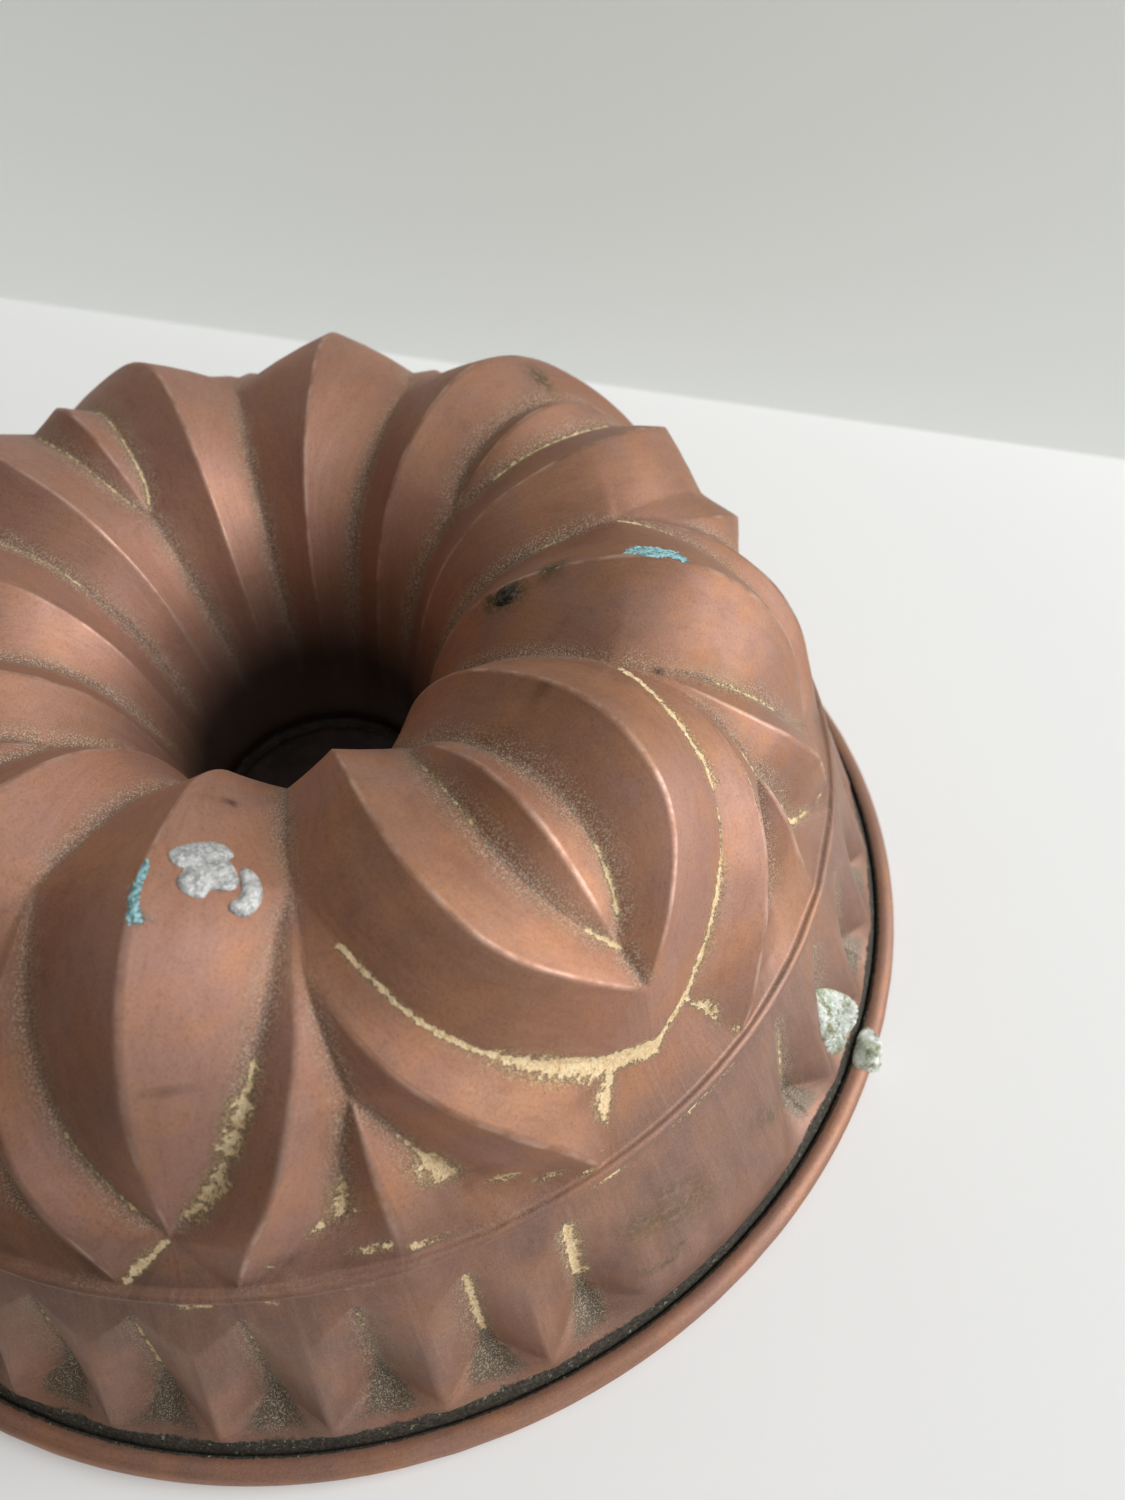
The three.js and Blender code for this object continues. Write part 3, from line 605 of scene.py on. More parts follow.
# Tone of the copper round the pan, petal by petal: turn, painted shade that darkens the petal, share of
# mauve.
PETAL_TONES = [
    (-135, 0.0, 0.5), (-90, 0.4, 0.1), (-45, 1.0, 0.0), (0, 1.0, 0.4), (45, 0.35, 0.8), (90, 0.25, 0.9),
    (135, 0.4, 0.8), (180, 0.7, 0.4),
]
# Small dark spots in the copper: turn, station, radius.
DARK_SPOTS = [
    (-131.75, 98, 0.45), (-130.75, 64, 0.8), (-127.5, 63.6, 0.8), (-100, 92, 0.4), (-118, 66, 0.5),
    (-60, 84, 0.7), (-75, 74, 1.1), (-84, 70, 0.5), (140, 70, 0.6), (20, 90, 0.8), (60, 96, 0.7),
]


# ---- node trees ----


class Value:
    """What a node gives out. Numbers take plain arithmetic; a | b is the larger of two."""

    def __init__(self, nodes, socket):
        self.nodes, self.socket = nodes, socket

    def __add__(self, other):
        return self.nodes.math("ADD", self, other)

    def __mul__(self, other):
        return self.nodes.math("MULTIPLY", self, other)

    def __or__(self, other):
        return self.nodes.math("MAXIMUM", self, other)

    def __rsub__(self, other):
        return self.nodes.math("SUBTRACT", other, self)

    def capped(self):
        """The same number, held between 0 and 1."""
        self.socket.node.use_clamp = True
        return self


class Nodes:
    """Node tree of a material or world, with one short call for each kind of node."""

    def __init__(self, owner):
        owner.use_nodes = True
        self.owner, self.tree = owner, owner.node_tree

    def node(self, kind, inputs, output, **settings):
        """Output of a new node whose inputs are given as values or links."""
        node = self.tree.nodes.new("ShaderNode" + kind)
        for key, value in settings.items():
            setattr(node, key, value)
        for key, value in inputs.items():
            self.feed(node.inputs[key], value)
        return Value(self, node.outputs[output])

    def feed(self, socket, value):
        if isinstance(value, Value):
            self.tree.links.new(value.socket, socket)
        elif isinstance(value, tuple) and socket.type == "RGBA":
            socket.default_value = (*value, 1.0)
        else:
            socket.default_value = value

    def math(self, operation, a, b):
        return self.node("Math", {0: a, 1: b}, 0, operation=operation)

    def step(self, value, low, high):
        """0 below low and 1 above high, smooth between."""
        inputs = {"Value": value, "From Min": low, "From Max": high}
        return self.node("MapRange", inputs, "Result", interpolation_type="SMOOTHSTEP")

    def mix(self, share, a, b):
        """Colour a, passing to b as share goes from 0 to 1."""
        return self.node("Mix", {0: share, 6: a, 7: b}, 2, data_type="RGBA")

    def blend(self, share, a, b):
        """Number a, passing to b as share goes from 0 to 1."""
        return self.node("Mix", {0: share, 2: a, 3: b}, 0, data_type="FLOAT")


class Surface(Nodes):
    """Material with a principled shader."""

    def __init__(self, name):
        super().__init__(bpy.data.materials.new(name))
        self.shader = self.tree.nodes["Principled BSDF"]
        self.position = self.node("TexCoord", {}, "Object")

    def attribute(self, name, output="Fac"):
        return self.node("Attribute", {}, output, attribute_name=name)

    def stretched(self, vector, scale):
        return self.node("Mapping", {"Vector": vector, "Scale": scale}, "Vector")

    def noise(self, size, detail=3.0, roughness=0.55, vector=None, distortion=0.0):
        """Noise between 0 and 1 with features of about this size in millimetres."""
        inputs = {
            "Vector": vector or self.position, "Scale": 1 / (size * MM),
            "Detail": detail, "Roughness": roughness, "Distortion": distortion,
        }
        return self.node("TexNoise", inputs, "Fac")

    def mottled(self, colour, *layers):
        """Lays blotches of more tones over a colour: noise, its step from and to, amount, tone."""
        for noise, low, high, amount, tone in layers:
            colour = self.mix(self.step(noise, low, high) * amount, colour, tone)
        return colour

    def bump(self, height, depth, before=None):
        """Normal roughened by a height, with its depth in millimetres."""
        inputs = {"Height": height, "Strength": 1.0, "Distance": depth * MM}
        if before is not None:
            inputs["Normal"] = before
        return self.node("Bump", inputs, "Normal")

    def finish(self, colour, roughness, metallic, normal):
        inputs = {"Base Color": colour, "Roughness": roughness, "Metallic": metallic, "Normal": normal}
        for name, value in inputs.items():
            self.feed(self.shader.inputs[name], value)
        return self.owner

    def clear_where(self, share):
        """Makes the surface see-through by a share."""
        clear = self.node("BsdfTransparent", {}, 0)
        mixed = self.node("MixShader", {0: share, 1: Value(self, self.shader.outputs[0]), 2: clear}, 0)
        self.feed(self.tree.nodes["Material Output"].inputs["Surface"], mixed)


COPPER_ORANGE = (0.58, 0.27, 0.125)
COPPER_BROWN = (0.41, 0.195, 0.108)
COPPER_MAUVE = (0.47, 0.265, 0.215)
COPPER_PLUM = (0.29, 0.172, 0.135)
COPPER_RUSSET = (0.48, 0.225, 0.138)
COPPER_DARK = (0.19, 0.098, 0.06)
COPPER_RUBBED = (0.66, 0.43, 0.33)
COPPER_WORN_SHEEN = (0.80, 0.56, 0.45)
POLISH_CREAM = (0.80, 0.56, 0.29)
POLISH_PALE = (0.93, 0.74, 0.46)
POLISH_DIRTY = (0.20, 0.17, 0.105)
GRIME = (0.045, 0.04, 0.032)
DUST = (0.56, 0.48, 0.35)
LEDGE_DIRT = (0.115, 0.10, 0.072)
GRIT_BLACK, GRIT_GREY, GRIT_PALE = (0.012, 0.013, 0.010), (0.065, 0.068, 0.050), (0.36, 0.42, 0.30)
BLOOM_DEEP, BLOOM_BLUE, BLOOM_WHITE = (0.12, 0.28, 0.27), (0.38, 0.70, 0.74), (0.72, 0.88, 0.90)
GREEN_STAIN = (0.045, 0.075, 0.025)
SPOT_BROWN = (0.05, 0.03, 0.025)
# colour of the painted shade in the throat
THROAT_SHADE_COLOUR = (0.03, 0.016, 0.01)


def copper(name):
    """Old copper: mottled satin, worn on the ridges with a painted highlight, grime and dust in the creases,
    painted shade in the hollows, on some petals and down the throat, polish left behind.
    """
    s = Surface(name)
    flow = s.attribute("flow", "Vector")
    crease, ridge, hollow = s.attribute("crease"), s.attribute("ridge"), s.attribute("hollow")
    below_rib, warm = s.attribute("lower"), s.attribute("mauve")

    # mottled tones
    clouds = s.step(s.noise(26, 4, 0.6, distortion=0.4), 0.38, 0.64)
    colour = s.mix(clouds, COPPER_BROWN, COPPER_RUSSET)
    mauve = s.step(s.noise(34, 2, 0.5), 0.42, 0.60) | warm
    colour = s.mix(mauve * 0.7, colour, COPPER_MAUVE)
    colour = s.mix((below_rib * (clouds + 0.5)).capped(), colour, COPPER_PLUM)
    patches = s.step(s.noise(9, 4, 0.62), 0.40, 0.68)
    colour = s.mix(patches * (0.75 - (below_rib | warm) * 0.5), colour, COPPER_ORANGE)
    dark = s.step(s.noise(15, 5, 0.7, distortion=1.0), 0.56, 0.78)
    colour = s.mix(dark * 0.45, colour, COPPER_DARK)

    # streaks and brush marks along the faces, and fine speckle
    streaks = s.noise(2.2, 5, 0.65, s.stretched(flow, (0.10, 1.0, 1.0)))
    brush = s.noise(0.6, 4, 0.75, s.stretched(flow, (0.14, 1.0, 1.0)))
    speckle = s.noise(0.55, 3, 0.7)
    grain = s.noise(0.24, 2, 0.7)
    colour = s.mottled(
        colour,
        (streaks, 0.35, 0.75, 0.22, COPPER_RUBBED), (brush, 0.50, 0.72, 0.15, COPPER_RUBBED),
        (brush, 0.50, 0.28, 0.22, COPPER_DARK), (speckle, 0.48, 0.76, 0.36, COPPER_DARK),
        (grain, 0.52, 0.70, 0.20, COPPER_DARK), (grain, 0.48, 0.30, 0.22, COPPER_RUBBED),
    )
    # painted shade: darkens the petals on the window side and the far left petal
    colour = s.mix(s.attribute("petal_shade") * 0.42, colour, COPPER_DARK)
    # worn copper on the ridges, lighter partly as real wear and partly as a painted highlight
    rubbed_and_sheen = s.step(ridge, 0.15, 0.9) * s.step(s.noise(5, 3, 0.6), 0.35, 0.65)
    colour = s.mix(rubbed_and_sheen * 0.45, colour, COPPER_WORN_SHEEN)

    # painted shade in the hollows, grime in the creases and at the foot of the notches, with dust over them
    ragged = s.noise(1.2, 4, 0.7)
    lying = s.step(s.noise(7, 3, 0.6), 0.32, 0.62) * 0.35
    grime = s.step(crease + lying + ragged * 0.5, 0.70, 1.40)
    # painted shade: darker near the hollow edges
    shade = s.step(hollow + ragged * 0.4, 0.35, 1.3)
    colour = s.mix(shade * 0.40, colour, COPPER_DARK)
    colour = s.mix(grime * 0.42, colour, GRIME)
    ledge = s.step(s.attribute("ledge") + s.noise(1.5, 5, 0.75) * 0.9, 0.75, 1.15)
    colour = s.mix(ledge * 0.75, colour, LEDGE_DIRT)
    grains = s.step(s.noise(0.26, 3, 0.75), 0.50, 0.60)
    reach = s.step(hollow + s.noise(5, 4, 0.7) * 0.7, 0.52, 1.25) | ledge * 0.55 | grime * 0.9
    dust = grains * (reach + 0.08)
    colour = s.mix(dust * 0.7, colour, DUST)

    # black grit packed in the groove above the rolled edge, with pale and green specks
    packed = s.step(s.attribute("groove") + s.noise(1.5, 5, 0.75) * 0.9, 0.90, 1.15)
    grit = s.mix(s.step(s.noise(0.6, 4, 0.75), 0.40, 0.66), GRIT_BLACK, GRIT_GREY)
    grit = s.mix(s.step(s.noise(0.9, 4, 0.8), 0.60, 0.68), grit, GRIT_PALE)
    colour = s.mix(packed * 0.93, colour, grit)

    # polish, verdigris and stains where they were left
    around = s.step(s.attribute("polish") + s.noise(1.0, 5, 0.75) * 0.8, 0.55, 0.95)
    specked = s.mix(s.step(s.noise(0.35, 3, 0.7), 0.46, 0.62), POLISH_DIRTY, POLISH_CREAM)
    colour = s.mix(around * 0.6, colour, specked)
    polish = residue(s, "polish", 1.3, 0.6, 2.0)
    cracks = s.step(s.noise(0.5, 4, 0.75), 0.56, 0.66) * 0.7
    caked = s.mix(s.step(s.noise(1.1, 3, 0.7), 0.35, 0.65), POLISH_CREAM, POLISH_PALE)
    colour = s.mix(polish, colour, s.mix(cracks, caked, POLISH_DIRTY))
    green = residue(s, "verdigris", 0.8, 0.5, 1.2)
    bloom = s.mix(s.step(s.noise(0.8), 0.35, 0.60), BLOOM_DEEP, BLOOM_BLUE)
    bloom = s.mix(s.step(s.noise(0.4, 4, 0.75), 0.56, 0.66), bloom, BLOOM_WHITE)
    colour = s.mix(green, colour, bloom)
    stain = s.attribute("stain") * s.step(s.noise(1.1, 4, 0.7), 0.35, 0.55)
    colour = s.mix(stain.capped(), colour, GREEN_STAIN)
    colour = s.mix((s.attribute("spot") * 0.85).capped(), colour, SPOT_BROWN)
    # painted shade: the throat fades towards black deeper down
    colour = s.mix(s.attribute("throat_shade") * 0.93, colour, THROAT_SHADE_COLOUR)

    dirty = polish | green | (grime | dust) | packed
    rough = s.noise(6, 4, 0.65) * 0.2 + 0.50
    for share, level in ((below_rib * 0.6, 0.44), (rubbed_and_sheen, 0.42), (dirty, 0.9)):
        rough = s.blend(share, rough, level)
    lumpy = (polish | green) * s.noise(0.8, 4, 0.7)
    normal = s.bump(s.noise(14, 2, 0.5), 0.18)
    for height, depth in ((streaks, 0.035), (s.noise(0.5, 3, 0.6), 0.03), (lumpy, 0.35)):
        normal = s.bump(height, depth, normal)
    return s.finish(colour, rough, s.blend(dirty, 0.68, 0.0), normal)


def residue(s, name, size, hardness, ragged):
    """Share of the surface that a left-over covers: its stored amount, broken up by noise."""
    amount = s.attribute(name)
    start = 0.48 + 0.5 * ragged
    covered = s.step(amount + s.noise(size, 5, 0.75) * ragged, start, start + 0.25 * hardness)
    return covered * s.step(amount, 0.03, 0.12)


def tin_wash(name):
    """Old wiped tin on the inside, grey with copper showing and brown baked stains."""
    s = Surface(name)
    clouds = s.step(s.noise(22, 5, 0.65, distortion=0.8), 0.35, 0.68)
    wiped = s.noise(2.5, 5, 0.65, s.stretched(s.attribute("flow", "Vector"), (1.0, 0.12, 1.0)))
    bare = s.noise(11, 5, 0.7) + s.attribute("ridge") * 0.35
    colour = s.mottled(
        s.mix(clouds, (0.34, 0.33, 0.31), (0.20, 0.18, 0.16)),
        (wiped, 0.4, 0.75, 0.4, (0.46, 0.45, 0.43)),
        (bare, 0.62, 0.80, 0.8, (0.38, 0.18, 0.11)),
        (s.noise(16, 5, 0.7), 0.55, 0.75, 0.6, (0.07, 0.045, 0.03)),
    )
    normal = s.bump(s.noise(1.2, 4, 0.6), 0.05, s.bump(s.noise(12, 2, 0.5), 0.3))
    return s.finish(colour, s.noise(5, 4, 0.6) * 0.3 + 0.35, 0.85, normal)


def grainy(name, light, dark, size, metallic, roughness, depth):
    """Crusty or brushed material of two tones, mottled at one size."""
    s = Surface(name)
    colour = s.mix(s.step(s.noise(size, 5, 0.7), 0.4, 0.62), dark, light)
    colour = s.mottled(colour, (s.noise(size / 5, 3, 0.7), 0.4, 0.7, 0.3, tuple(c * 0.6 for c in dark)))
    rough = s.noise(size / 2, 3, 0.6) * 0.25 + (roughness - 0.12)
    normal = s.bump(s.noise(size / 6, 3, 0.6), depth / 4, s.bump(s.noise(size, 4, 0.65), depth))
    return s.finish(colour, rough, metallic, normal)


def shaded_tube_copper(name):
    """Copper of the tube, painted near black as shade deep in the throat, with a few orange rubs."""
    s = Surface(name)
    clouds = s.step(s.noise(12, 5, 0.65, distortion=0.6), 0.36, 0.66)
    colour = s.mottled(
        s.mix(clouds, (0.013, 0.008, 0.006), (0.040, 0.020, 0.013)),
        (s.noise(2.5, 5, 0.7), 0.55, 0.75, 0.4, (0.16, 0.075, 0.042)),
        (s.noise(5, 4, 0.7), 0.5, 0.7, 0.7, (0.03, 0.018, 0.012)),
    )
    normal = s.bump(s.noise(0.8, 4, 0.6), 0.05, s.bump(s.noise(6, 3, 0.5), 0.15))
    return s.finish(colour, s.noise(4, 4, 0.6) * 0.25 + 0.5, 0.75, normal)


def repair_tin(name):
    """Wiped solder: pale grey, brighter lumps, dark pits and hairlines."""
    s = Surface(name)
    lumps = s.step(s.noise(1.4, 4, 0.65), 0.38, 0.62)
    colour = s.mottled(
        s.mix(lumps, (0.36, 0.37, 0.37), (0.68, 0.68, 0.65)),
        (s.noise(0.5, 3, 0.7), 0.50, 0.62, 0.7, (0.88, 0.88, 0.85)),
        (s.noise(0.35, 4, 0.75), 0.56, 0.68, 0.75, (0.13, 0.14, 0.15)),
    )
    normal = s.bump(s.noise(0.25, 3, 0.6), 0.06, s.bump(s.noise(0.9, 4, 0.65), 0.25))
    return s.finish(colour, s.noise(0.8, 3, 0.6) * 0.25 + 0.42, 0.45, normal)


def crust(name):
    """White and pale green corrosion over olive brown."""
    s = Surface(name)
    green = s.step(s.noise(2.6, 5, 0.7), 0.42, 0.60)
    colour = s.mottled(
        s.mix(green, (0.30, 0.31, 0.17), (0.58, 0.67, 0.52)),
        (s.noise(3.0, 5, 0.75), 0.42, 0.58, 1.0, (0.90, 0.93, 0.87)),
        (s.noise(0.5, 4, 0.7), 0.52, 0.70, 0.6, (0.10, 0.11, 0.06)),
    )
    return s.finish(colour, s.noise(1) * 0.2 + 0.7, 0.0, s.bump(s.noise(1.1, 5, 0.7), 0.5))


# ---- the pressed sheet ----

show = show_side()
roll = rolled_edge()
inner = inner_side()
INNER_START = len(show) + len(roll)
sheet_grid = np.vstack([show, roll, inner])
sheet_faces = ring_faces(len(sheet_grid), COLUMNS)
sheet = make_object(
    "body_sheet", sheet_grid.reshape(-1, 3), sheet_faces, copper("copper_body"), tin_wash("tin_wash")
)
tinned = np.zeros(len(sheet_faces), np.int32)
tinned[INNER_START * COLUMNS:] = 1
sheet.data.polygons.foreach_set("material_index", tinned)


def turning(before, at, after, normal):
    """Signed angle by which a line through three points bends: convex is positive."""
    one, two = at - before, after - at
    lengths = np.linalg.norm(one, axis=-1) * np.linalg.norm(two, axis=-1)
    angle = np.arccos(np.clip((one * two).sum(-1) / np.maximum(lengths, 1e-9), -1, 1))
    return angle * np.sign(((one - two) * normal).sum(-1))


def edge_field(grid, lines, axis, width, sign, bend=0.5):
    """Share from 1 at the given edges of a grid to 0 over about twice a width, for convex or hollow edges."""
    normal = np.moveaxis(grid_normals(grid), axis, 0)
    grid = np.moveaxis(grid, axis, 0)
    field = np.zeros(grid.shape[:2])
    for i in lines:
        before, after = grid[(i - 2) % len(grid)], grid[(i + 2) % len(grid)]
        sharp = np.clip(sign * turning(before, grid[i], after, normal[i]) / bend, 0, 1)
        distance = np.linalg.norm(grid - grid[i], axis=2)
        field = np.maximum(field, sharp * np.exp(-(distance / width)**2))
    return np.moveaxis(field, 0, axis)


MAIN_COLUMNS = sorted({
    (sector * 2 * HALF_COLUMNS + side * at) % COLUMNS
    for sector in range(SECTORS) for side in (1, -1) for at in MAIN_AT
})
RIB_ROW = len(SHOW_STATIONS)
FOOT_ROW = RIB_ROW + len(RIB_STATIONS)
CHIP_ROW = FOOT_ROW - 1 + BAND_DIVISIONS[0]
LEDGE_ROW = CHIP_ROW + BAND_DIVISIONS[1]
EDGE_ROWS = [RIB_ROW, FOOT_ROW - 1, CHIP_ROW, LEDGE_ROW]


def edges(width, sign, bend=0.5):
    """Share of nearness to the convex or hollow edges of the show side."""
    lengthwise = edge_field(show, MAIN_COLUMNS, 1, width, sign, bend)
    across = edge_field(show, EDGE_ROWS, 0, width, sign, bend)
    return np.maximum(lengthwise, across * 0.5)


def store(name, on_show):
    """Stores a share for every point of the sheet from those of its show side."""
    values = np.zeros(sheet_grid.shape[:2])
    values[:len(show)] = on_show
    set_attribute(sheet, name, values.ravel())


RIDGE_WIDTH, CREASE_WIDTH, HOLLOW_WIDTH = 0.38, 0.55, 2.6
RUB_AND_SHEEN_ON_BAND = 0.35   # the band's ridges are less worn, and have less painted highlight, than the crown's
show_points = show.reshape(-1, 3)
faint = np.ones((len(show), 1))
faint[FOOT_ROW - 2:CHIP_ROW - 1] = 0.1      # the slope above the cuts shows hardly any edges
rub_and_sheen = np.where(np.arange(len(show)) < FOOT_ROW, 1, RUB_AND_SHEEN_ON_BAND)[:, None]
store("ridge", edges(RIDGE_WIDTH, 1) * (faint * rub_and_sheen))
store("crease", edges(CREASE_WIDTH, -1, bend=0.8) * faint)
# nearness to hollow edges, used for painted shade and for where dust lies
store("hollow", edges(HOLLOW_WIDTH, -1, bend=0.7) * faint)


def marks(strokes):
    """Amount at each show point of (line, width, amount) strokes."""
    total = np.zeros(len(show_points))
    for line, width, amount in strokes:
        total = np.maximum(total, amount * closeness(show_points, line, width))
    return total.reshape(show.shape[:2])


def strokes_of(rows, place):
    """Strokes from rows of line, width and amount, with a function that places the line's points."""
    return [(np.array([place(*at) for at in line]), width, amount) for line, width, amount in rows]


def rib_line(start, end):
    """Points under the rib from one turn to another."""
    radius, z = 94.0, 34.6
    turns = np.radians(np.arange(start, end, 1.0))
    return np.column_stack([radius * np.cos(turns), radius * np.sin(turns), np.full(len(turns), z)])


RIB_POLISH_WIDTH = 0.5
polish_strokes = [(along_line(*row[:5]), row[5], row[6]) for row in LEFTOVER_POLISH]
polish_strokes += [(band_line(*row[:3]), row[3], row[4]) for row in BAND_POLISH]
polish_strokes += [(rib_line(a, b), RIB_POLISH_WIDTH, amount) for a, b, amount in RIB_POLISH]
store("polish", marks(polish_strokes))
store("verdigris", marks(strokes_of(VERDIGRIS, surface_point)))
store("stain", marks(strokes_of(GREEN_STAINS, surface_point) + strokes_of(PANEL_SMEARS, band_point)))
dark_spots = [([(turn, station)], size, 1.0) for turn, station, size in DARK_SPOTS]
store("spot", marks(strokes_of(dark_spots, surface_point)))

# grit fills the groove between wall and roll
GRIT_TOP, GRIT_FADE = 6.1, 0.7          # height on the wall
GRIT_EDGE, GRIT_ROLL_FADE = 0.4, 0.9    # on the roll, inwards from the wire's radius
height_at = sheet_grid[:, :, 2]
radius_at = np.hypot(sheet_grid[:, :, 0], sheet_grid[:, :, 1])
turn_at = np.arctan2(sheet_grid[:, :, 1], sheet_grid[:, :, 0])
grit = np.clip((GRIT_TOP - height_at) / GRIT_FADE, 0, 1)
grit[len(show):] = np.clip((WIRE_R - GRIT_EDGE - radius_at[len(show):]) / GRIT_ROLL_FADE, 0, 1)
grit[INNER_START:] = 0
grit[:FOOT_ROW] = 0
set_attribute(sheet, "groove", grit.ravel())

# below the rib the copper is plum, less so on the roll
PLUM_TOP, PLUM_FADE, PLUM_ON_ROLL, THROAT_RADIUS = 46, 10, 0.4, 60
plum = np.clip((PLUM_TOP - height_at) / PLUM_FADE, 0, 1)
plum[len(show):] *= PLUM_ON_ROLL
set_attribute(sheet, "lower", (plum * (radius_at > THROAT_RADIUS)).ravel())

# dust lies on the ledge at the foot of each notch, in a triangle that widens downwards
folded = np.degrees(turn_at[LEDGE_ROW]) - FIRST_PETAL
folded = np.minimum(folded % 90, 90 - folded % 90)
from_valley = np.abs((folded - NOTCH_PITCH) % (2 * NOTCH_PITCH))
from_valley = np.minimum(from_valley, 2 * NOTCH_PITCH - from_valley)
ROWS_ABOVE, LEAST_REACH, DUST_END, DUST_FADE = 7, 0.20, 0.85, 0.4
ledge = np.zeros(show.shape[:2])
for row in range(LEDGE_ROW - ROWS_ABOVE, len(show)):
    down = (row - LEDGE_ROW) / BAND_DIVISIONS[2]
    reach = NOTCH_PITCH * (LEAST_REACH + max(down, 0))
    amount = np.clip(min((DUST_END - down) / DUST_FADE, 1.1 + down * 0.9), 0, 1)
    ledge[row] = np.clip(1.3 - from_valley / reach, 0, 1) * amount
ledge[:, folded > LAST_NOTCH + 1] = 0
store("ledge", ledge)

# every petal has its own tone and its own painted shade, and painted shade darkens the throat, more on the
# far side
petal_turns, shade_by_petal, mauveness = np.transpose(PETAL_TONES)
for name, tones in (("petal_shade", shade_by_petal), ("mauve", mauveness)):
    tone_at = np.interp(np.degrees(turn_at), petal_turns, tones, period=360)
    tone_at[INNER_START:] = 0
    set_attribute(sheet, name, tone_at.ravel())
# painted shade in the throat: darker deeper down, reaching higher on the far side
THROAT_SHADE_TOP, THROAT_SHADE_TILT, THROAT_SHADE_FADE, THROAT_SHADE_RADIUS = 60, 7, 27, 45
throat_shade_from = THROAT_SHADE_TOP + THROAT_SHADE_TILT * np.cos(turn_at[:len(show)] - math.radians(45))
throat_shade = np.clip((throat_shade_from - show[:, :, 2]) / THROAT_SHADE_FADE, 0, 1)**1.3
store("throat_shade", throat_shade * (radius_at[:len(show)] < THROAT_SHADE_RADIUS))

# streaks run along the columns on the faces, and round the rim on the rolled edge
COLUMN_WIDTH = 1.6
row_length = np.r_[0, np.cumsum(np.linalg.norm(np.diff(sheet_grid[:, 0], axis=0), axis=1))]
column_at = np.arange(COLUMNS) * COLUMN_WIDTH
flow = np.zeros((*sheet_grid.shape[:2], 3))
flow[..., 0], flow[..., 1] = row_length[:, None], column_at[None]
on_roll = slice(len(show) - BAND_DIVISIONS[2], INNER_START)
flow[on_roll, :, 0], flow[on_roll, :, 1] = column_at[None], row_length[on_roll, None]
set_attribute(sheet, "flow", (flow * MM).reshape(-1, 3))


def stands_for(piece, node):
    """Puts a piece in the place of a CAD node, which it hides."""
    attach(piece, "root")
    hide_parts(node)


stands_for(sheet, "body_shell")


# ---- tube, seam and wire: rings turned from a closed section ----


def turned_ring(name, section, columns, material, lumps=0.0):
    """Ring from a closed section of [radius, height] points; lumps make its thickness uneven."""
    section = np.asarray(section, float)[::-1]
    centre = section.mean(0)
    grid = np.zeros((len(section), columns, 3))
    for j in range(columns):
        turn = 2 * math.pi * j / columns
        swell = 1 + lumps * bumpy(turn * TUBE_RADIUS / 1.7, np.arange(len(section)) * 0.6)
        at = centre + (section - centre) * swell[:, None]
        grid[:, j] = np.column_stack([at[:, 0] * math.cos(turn), at[:, 0] * math.sin(turn), at[:, 1]])
    return make_object(name, grid.reshape(-1, 3), ring_faces(len(section), columns), material)


def bumpy(x, y):
    """Smooth uneven surface between about -1 and 1."""
    rough = np.sin(1.3 * x + 0.7 * y) + np.sin(2.9 * x - 1.7 * y + 1.1) * 0.6
    return (rough + np.sin(5.3 * x + 4.1 * y + 2.3) * 0.4 + np.sin(-3.7 * x + 6.1 * y + 0.4) * 0.4) / 2.4


def round_section(radius, height, half, points):
    """Circle of a given half width round a point of the section."""
    turns = np.linspace(0, 2 * math.pi, points, endpoint=False)
    return np.column_stack([radius + half * np.cos(turns), height + half * np.sin(turns)])


bore = TUBE_RADIUS - SHEET
CHAMFER = 0.25
tube_levels = np.linspace(TUBE_FOOT + 0.2, TUBE_TOP - 0.2, 12)
tube_section = [(bore + CHAMFER, TUBE_FOOT), (TUBE_RADIUS - CHAMFER, TUBE_FOOT)]
tube_section += [(TUBE_RADIUS, z) for z in tube_levels]
tube_section += [(TUBE_RADIUS - CHAMFER, TUBE_TOP), (bore + CHAMFER, TUBE_TOP)]
tube_section += [(bore, z) for z in tube_levels[::-1]]
seam_half = (SEAM_TOP - TUBE_TOP) / 2
seam_section = round_section(TUBE_RADIUS - SHEET, TUBE_TOP + seam_half, seam_half, 10)
# dark solder crust, its colours darkened further as painted shade deep in the throat
seam_finish = grainy("seam_solder", (0.04, 0.026, 0.014), (0.010, 0.008, 0.006), 1.6, 0.1, 0.8, 0.4)
wire_section = round_section(WIRE_R, WIRE_Z, extent("rim_wire")[1][2] - WIRE_Z, 12)
wire_finish = grainy("steel_wire", (0.20, 0.17, 0.15), (0.10, 0.045, 0.025), 3.0, 0.6, 0.6, 0.1)
tube = turned_ring("tube_sheet", tube_section, 96, shaded_tube_copper("copper_tube"))
seam = turned_ring("tube_seam", seam_section, 240, seam_finish, lumps=0.25)
wire = turned_ring("wire_ring", wire_section, 192, wire_finish)
stands_for(tube, "centre_tube")
stands_for(seam, "tube_seam_solder")
stands_for(wire, "rim_wire")

# ---- deposits: a rounded outline, thick inside and thin at its edge ----


def chaikin(outline):
    """Closed outline with its corners cut twice."""
    loop = np.asarray(outline, float)
    for _ in range(2):
        after = np.roll(loop, -1, axis=0)
        loop = np.stack([loop * 0.75 + after * 0.25, loop * 0.25 + after * 0.75], 1).reshape(-1, 2)
    return loop


def inside(points, loop):
    """Which points lie inside a closed loop."""
    x, y = points.T
    crossings = np.zeros(len(points), int)
    for (ax, ay), (bx, by) in zip(loop, np.roll(loop, -1, axis=0)):
        if ay != by:
            crossings += ((ay > y) != (by > y)) & (x < (bx - ax) * (y - ay) / (by - ay) + ax)
    return crossings % 2 == 1


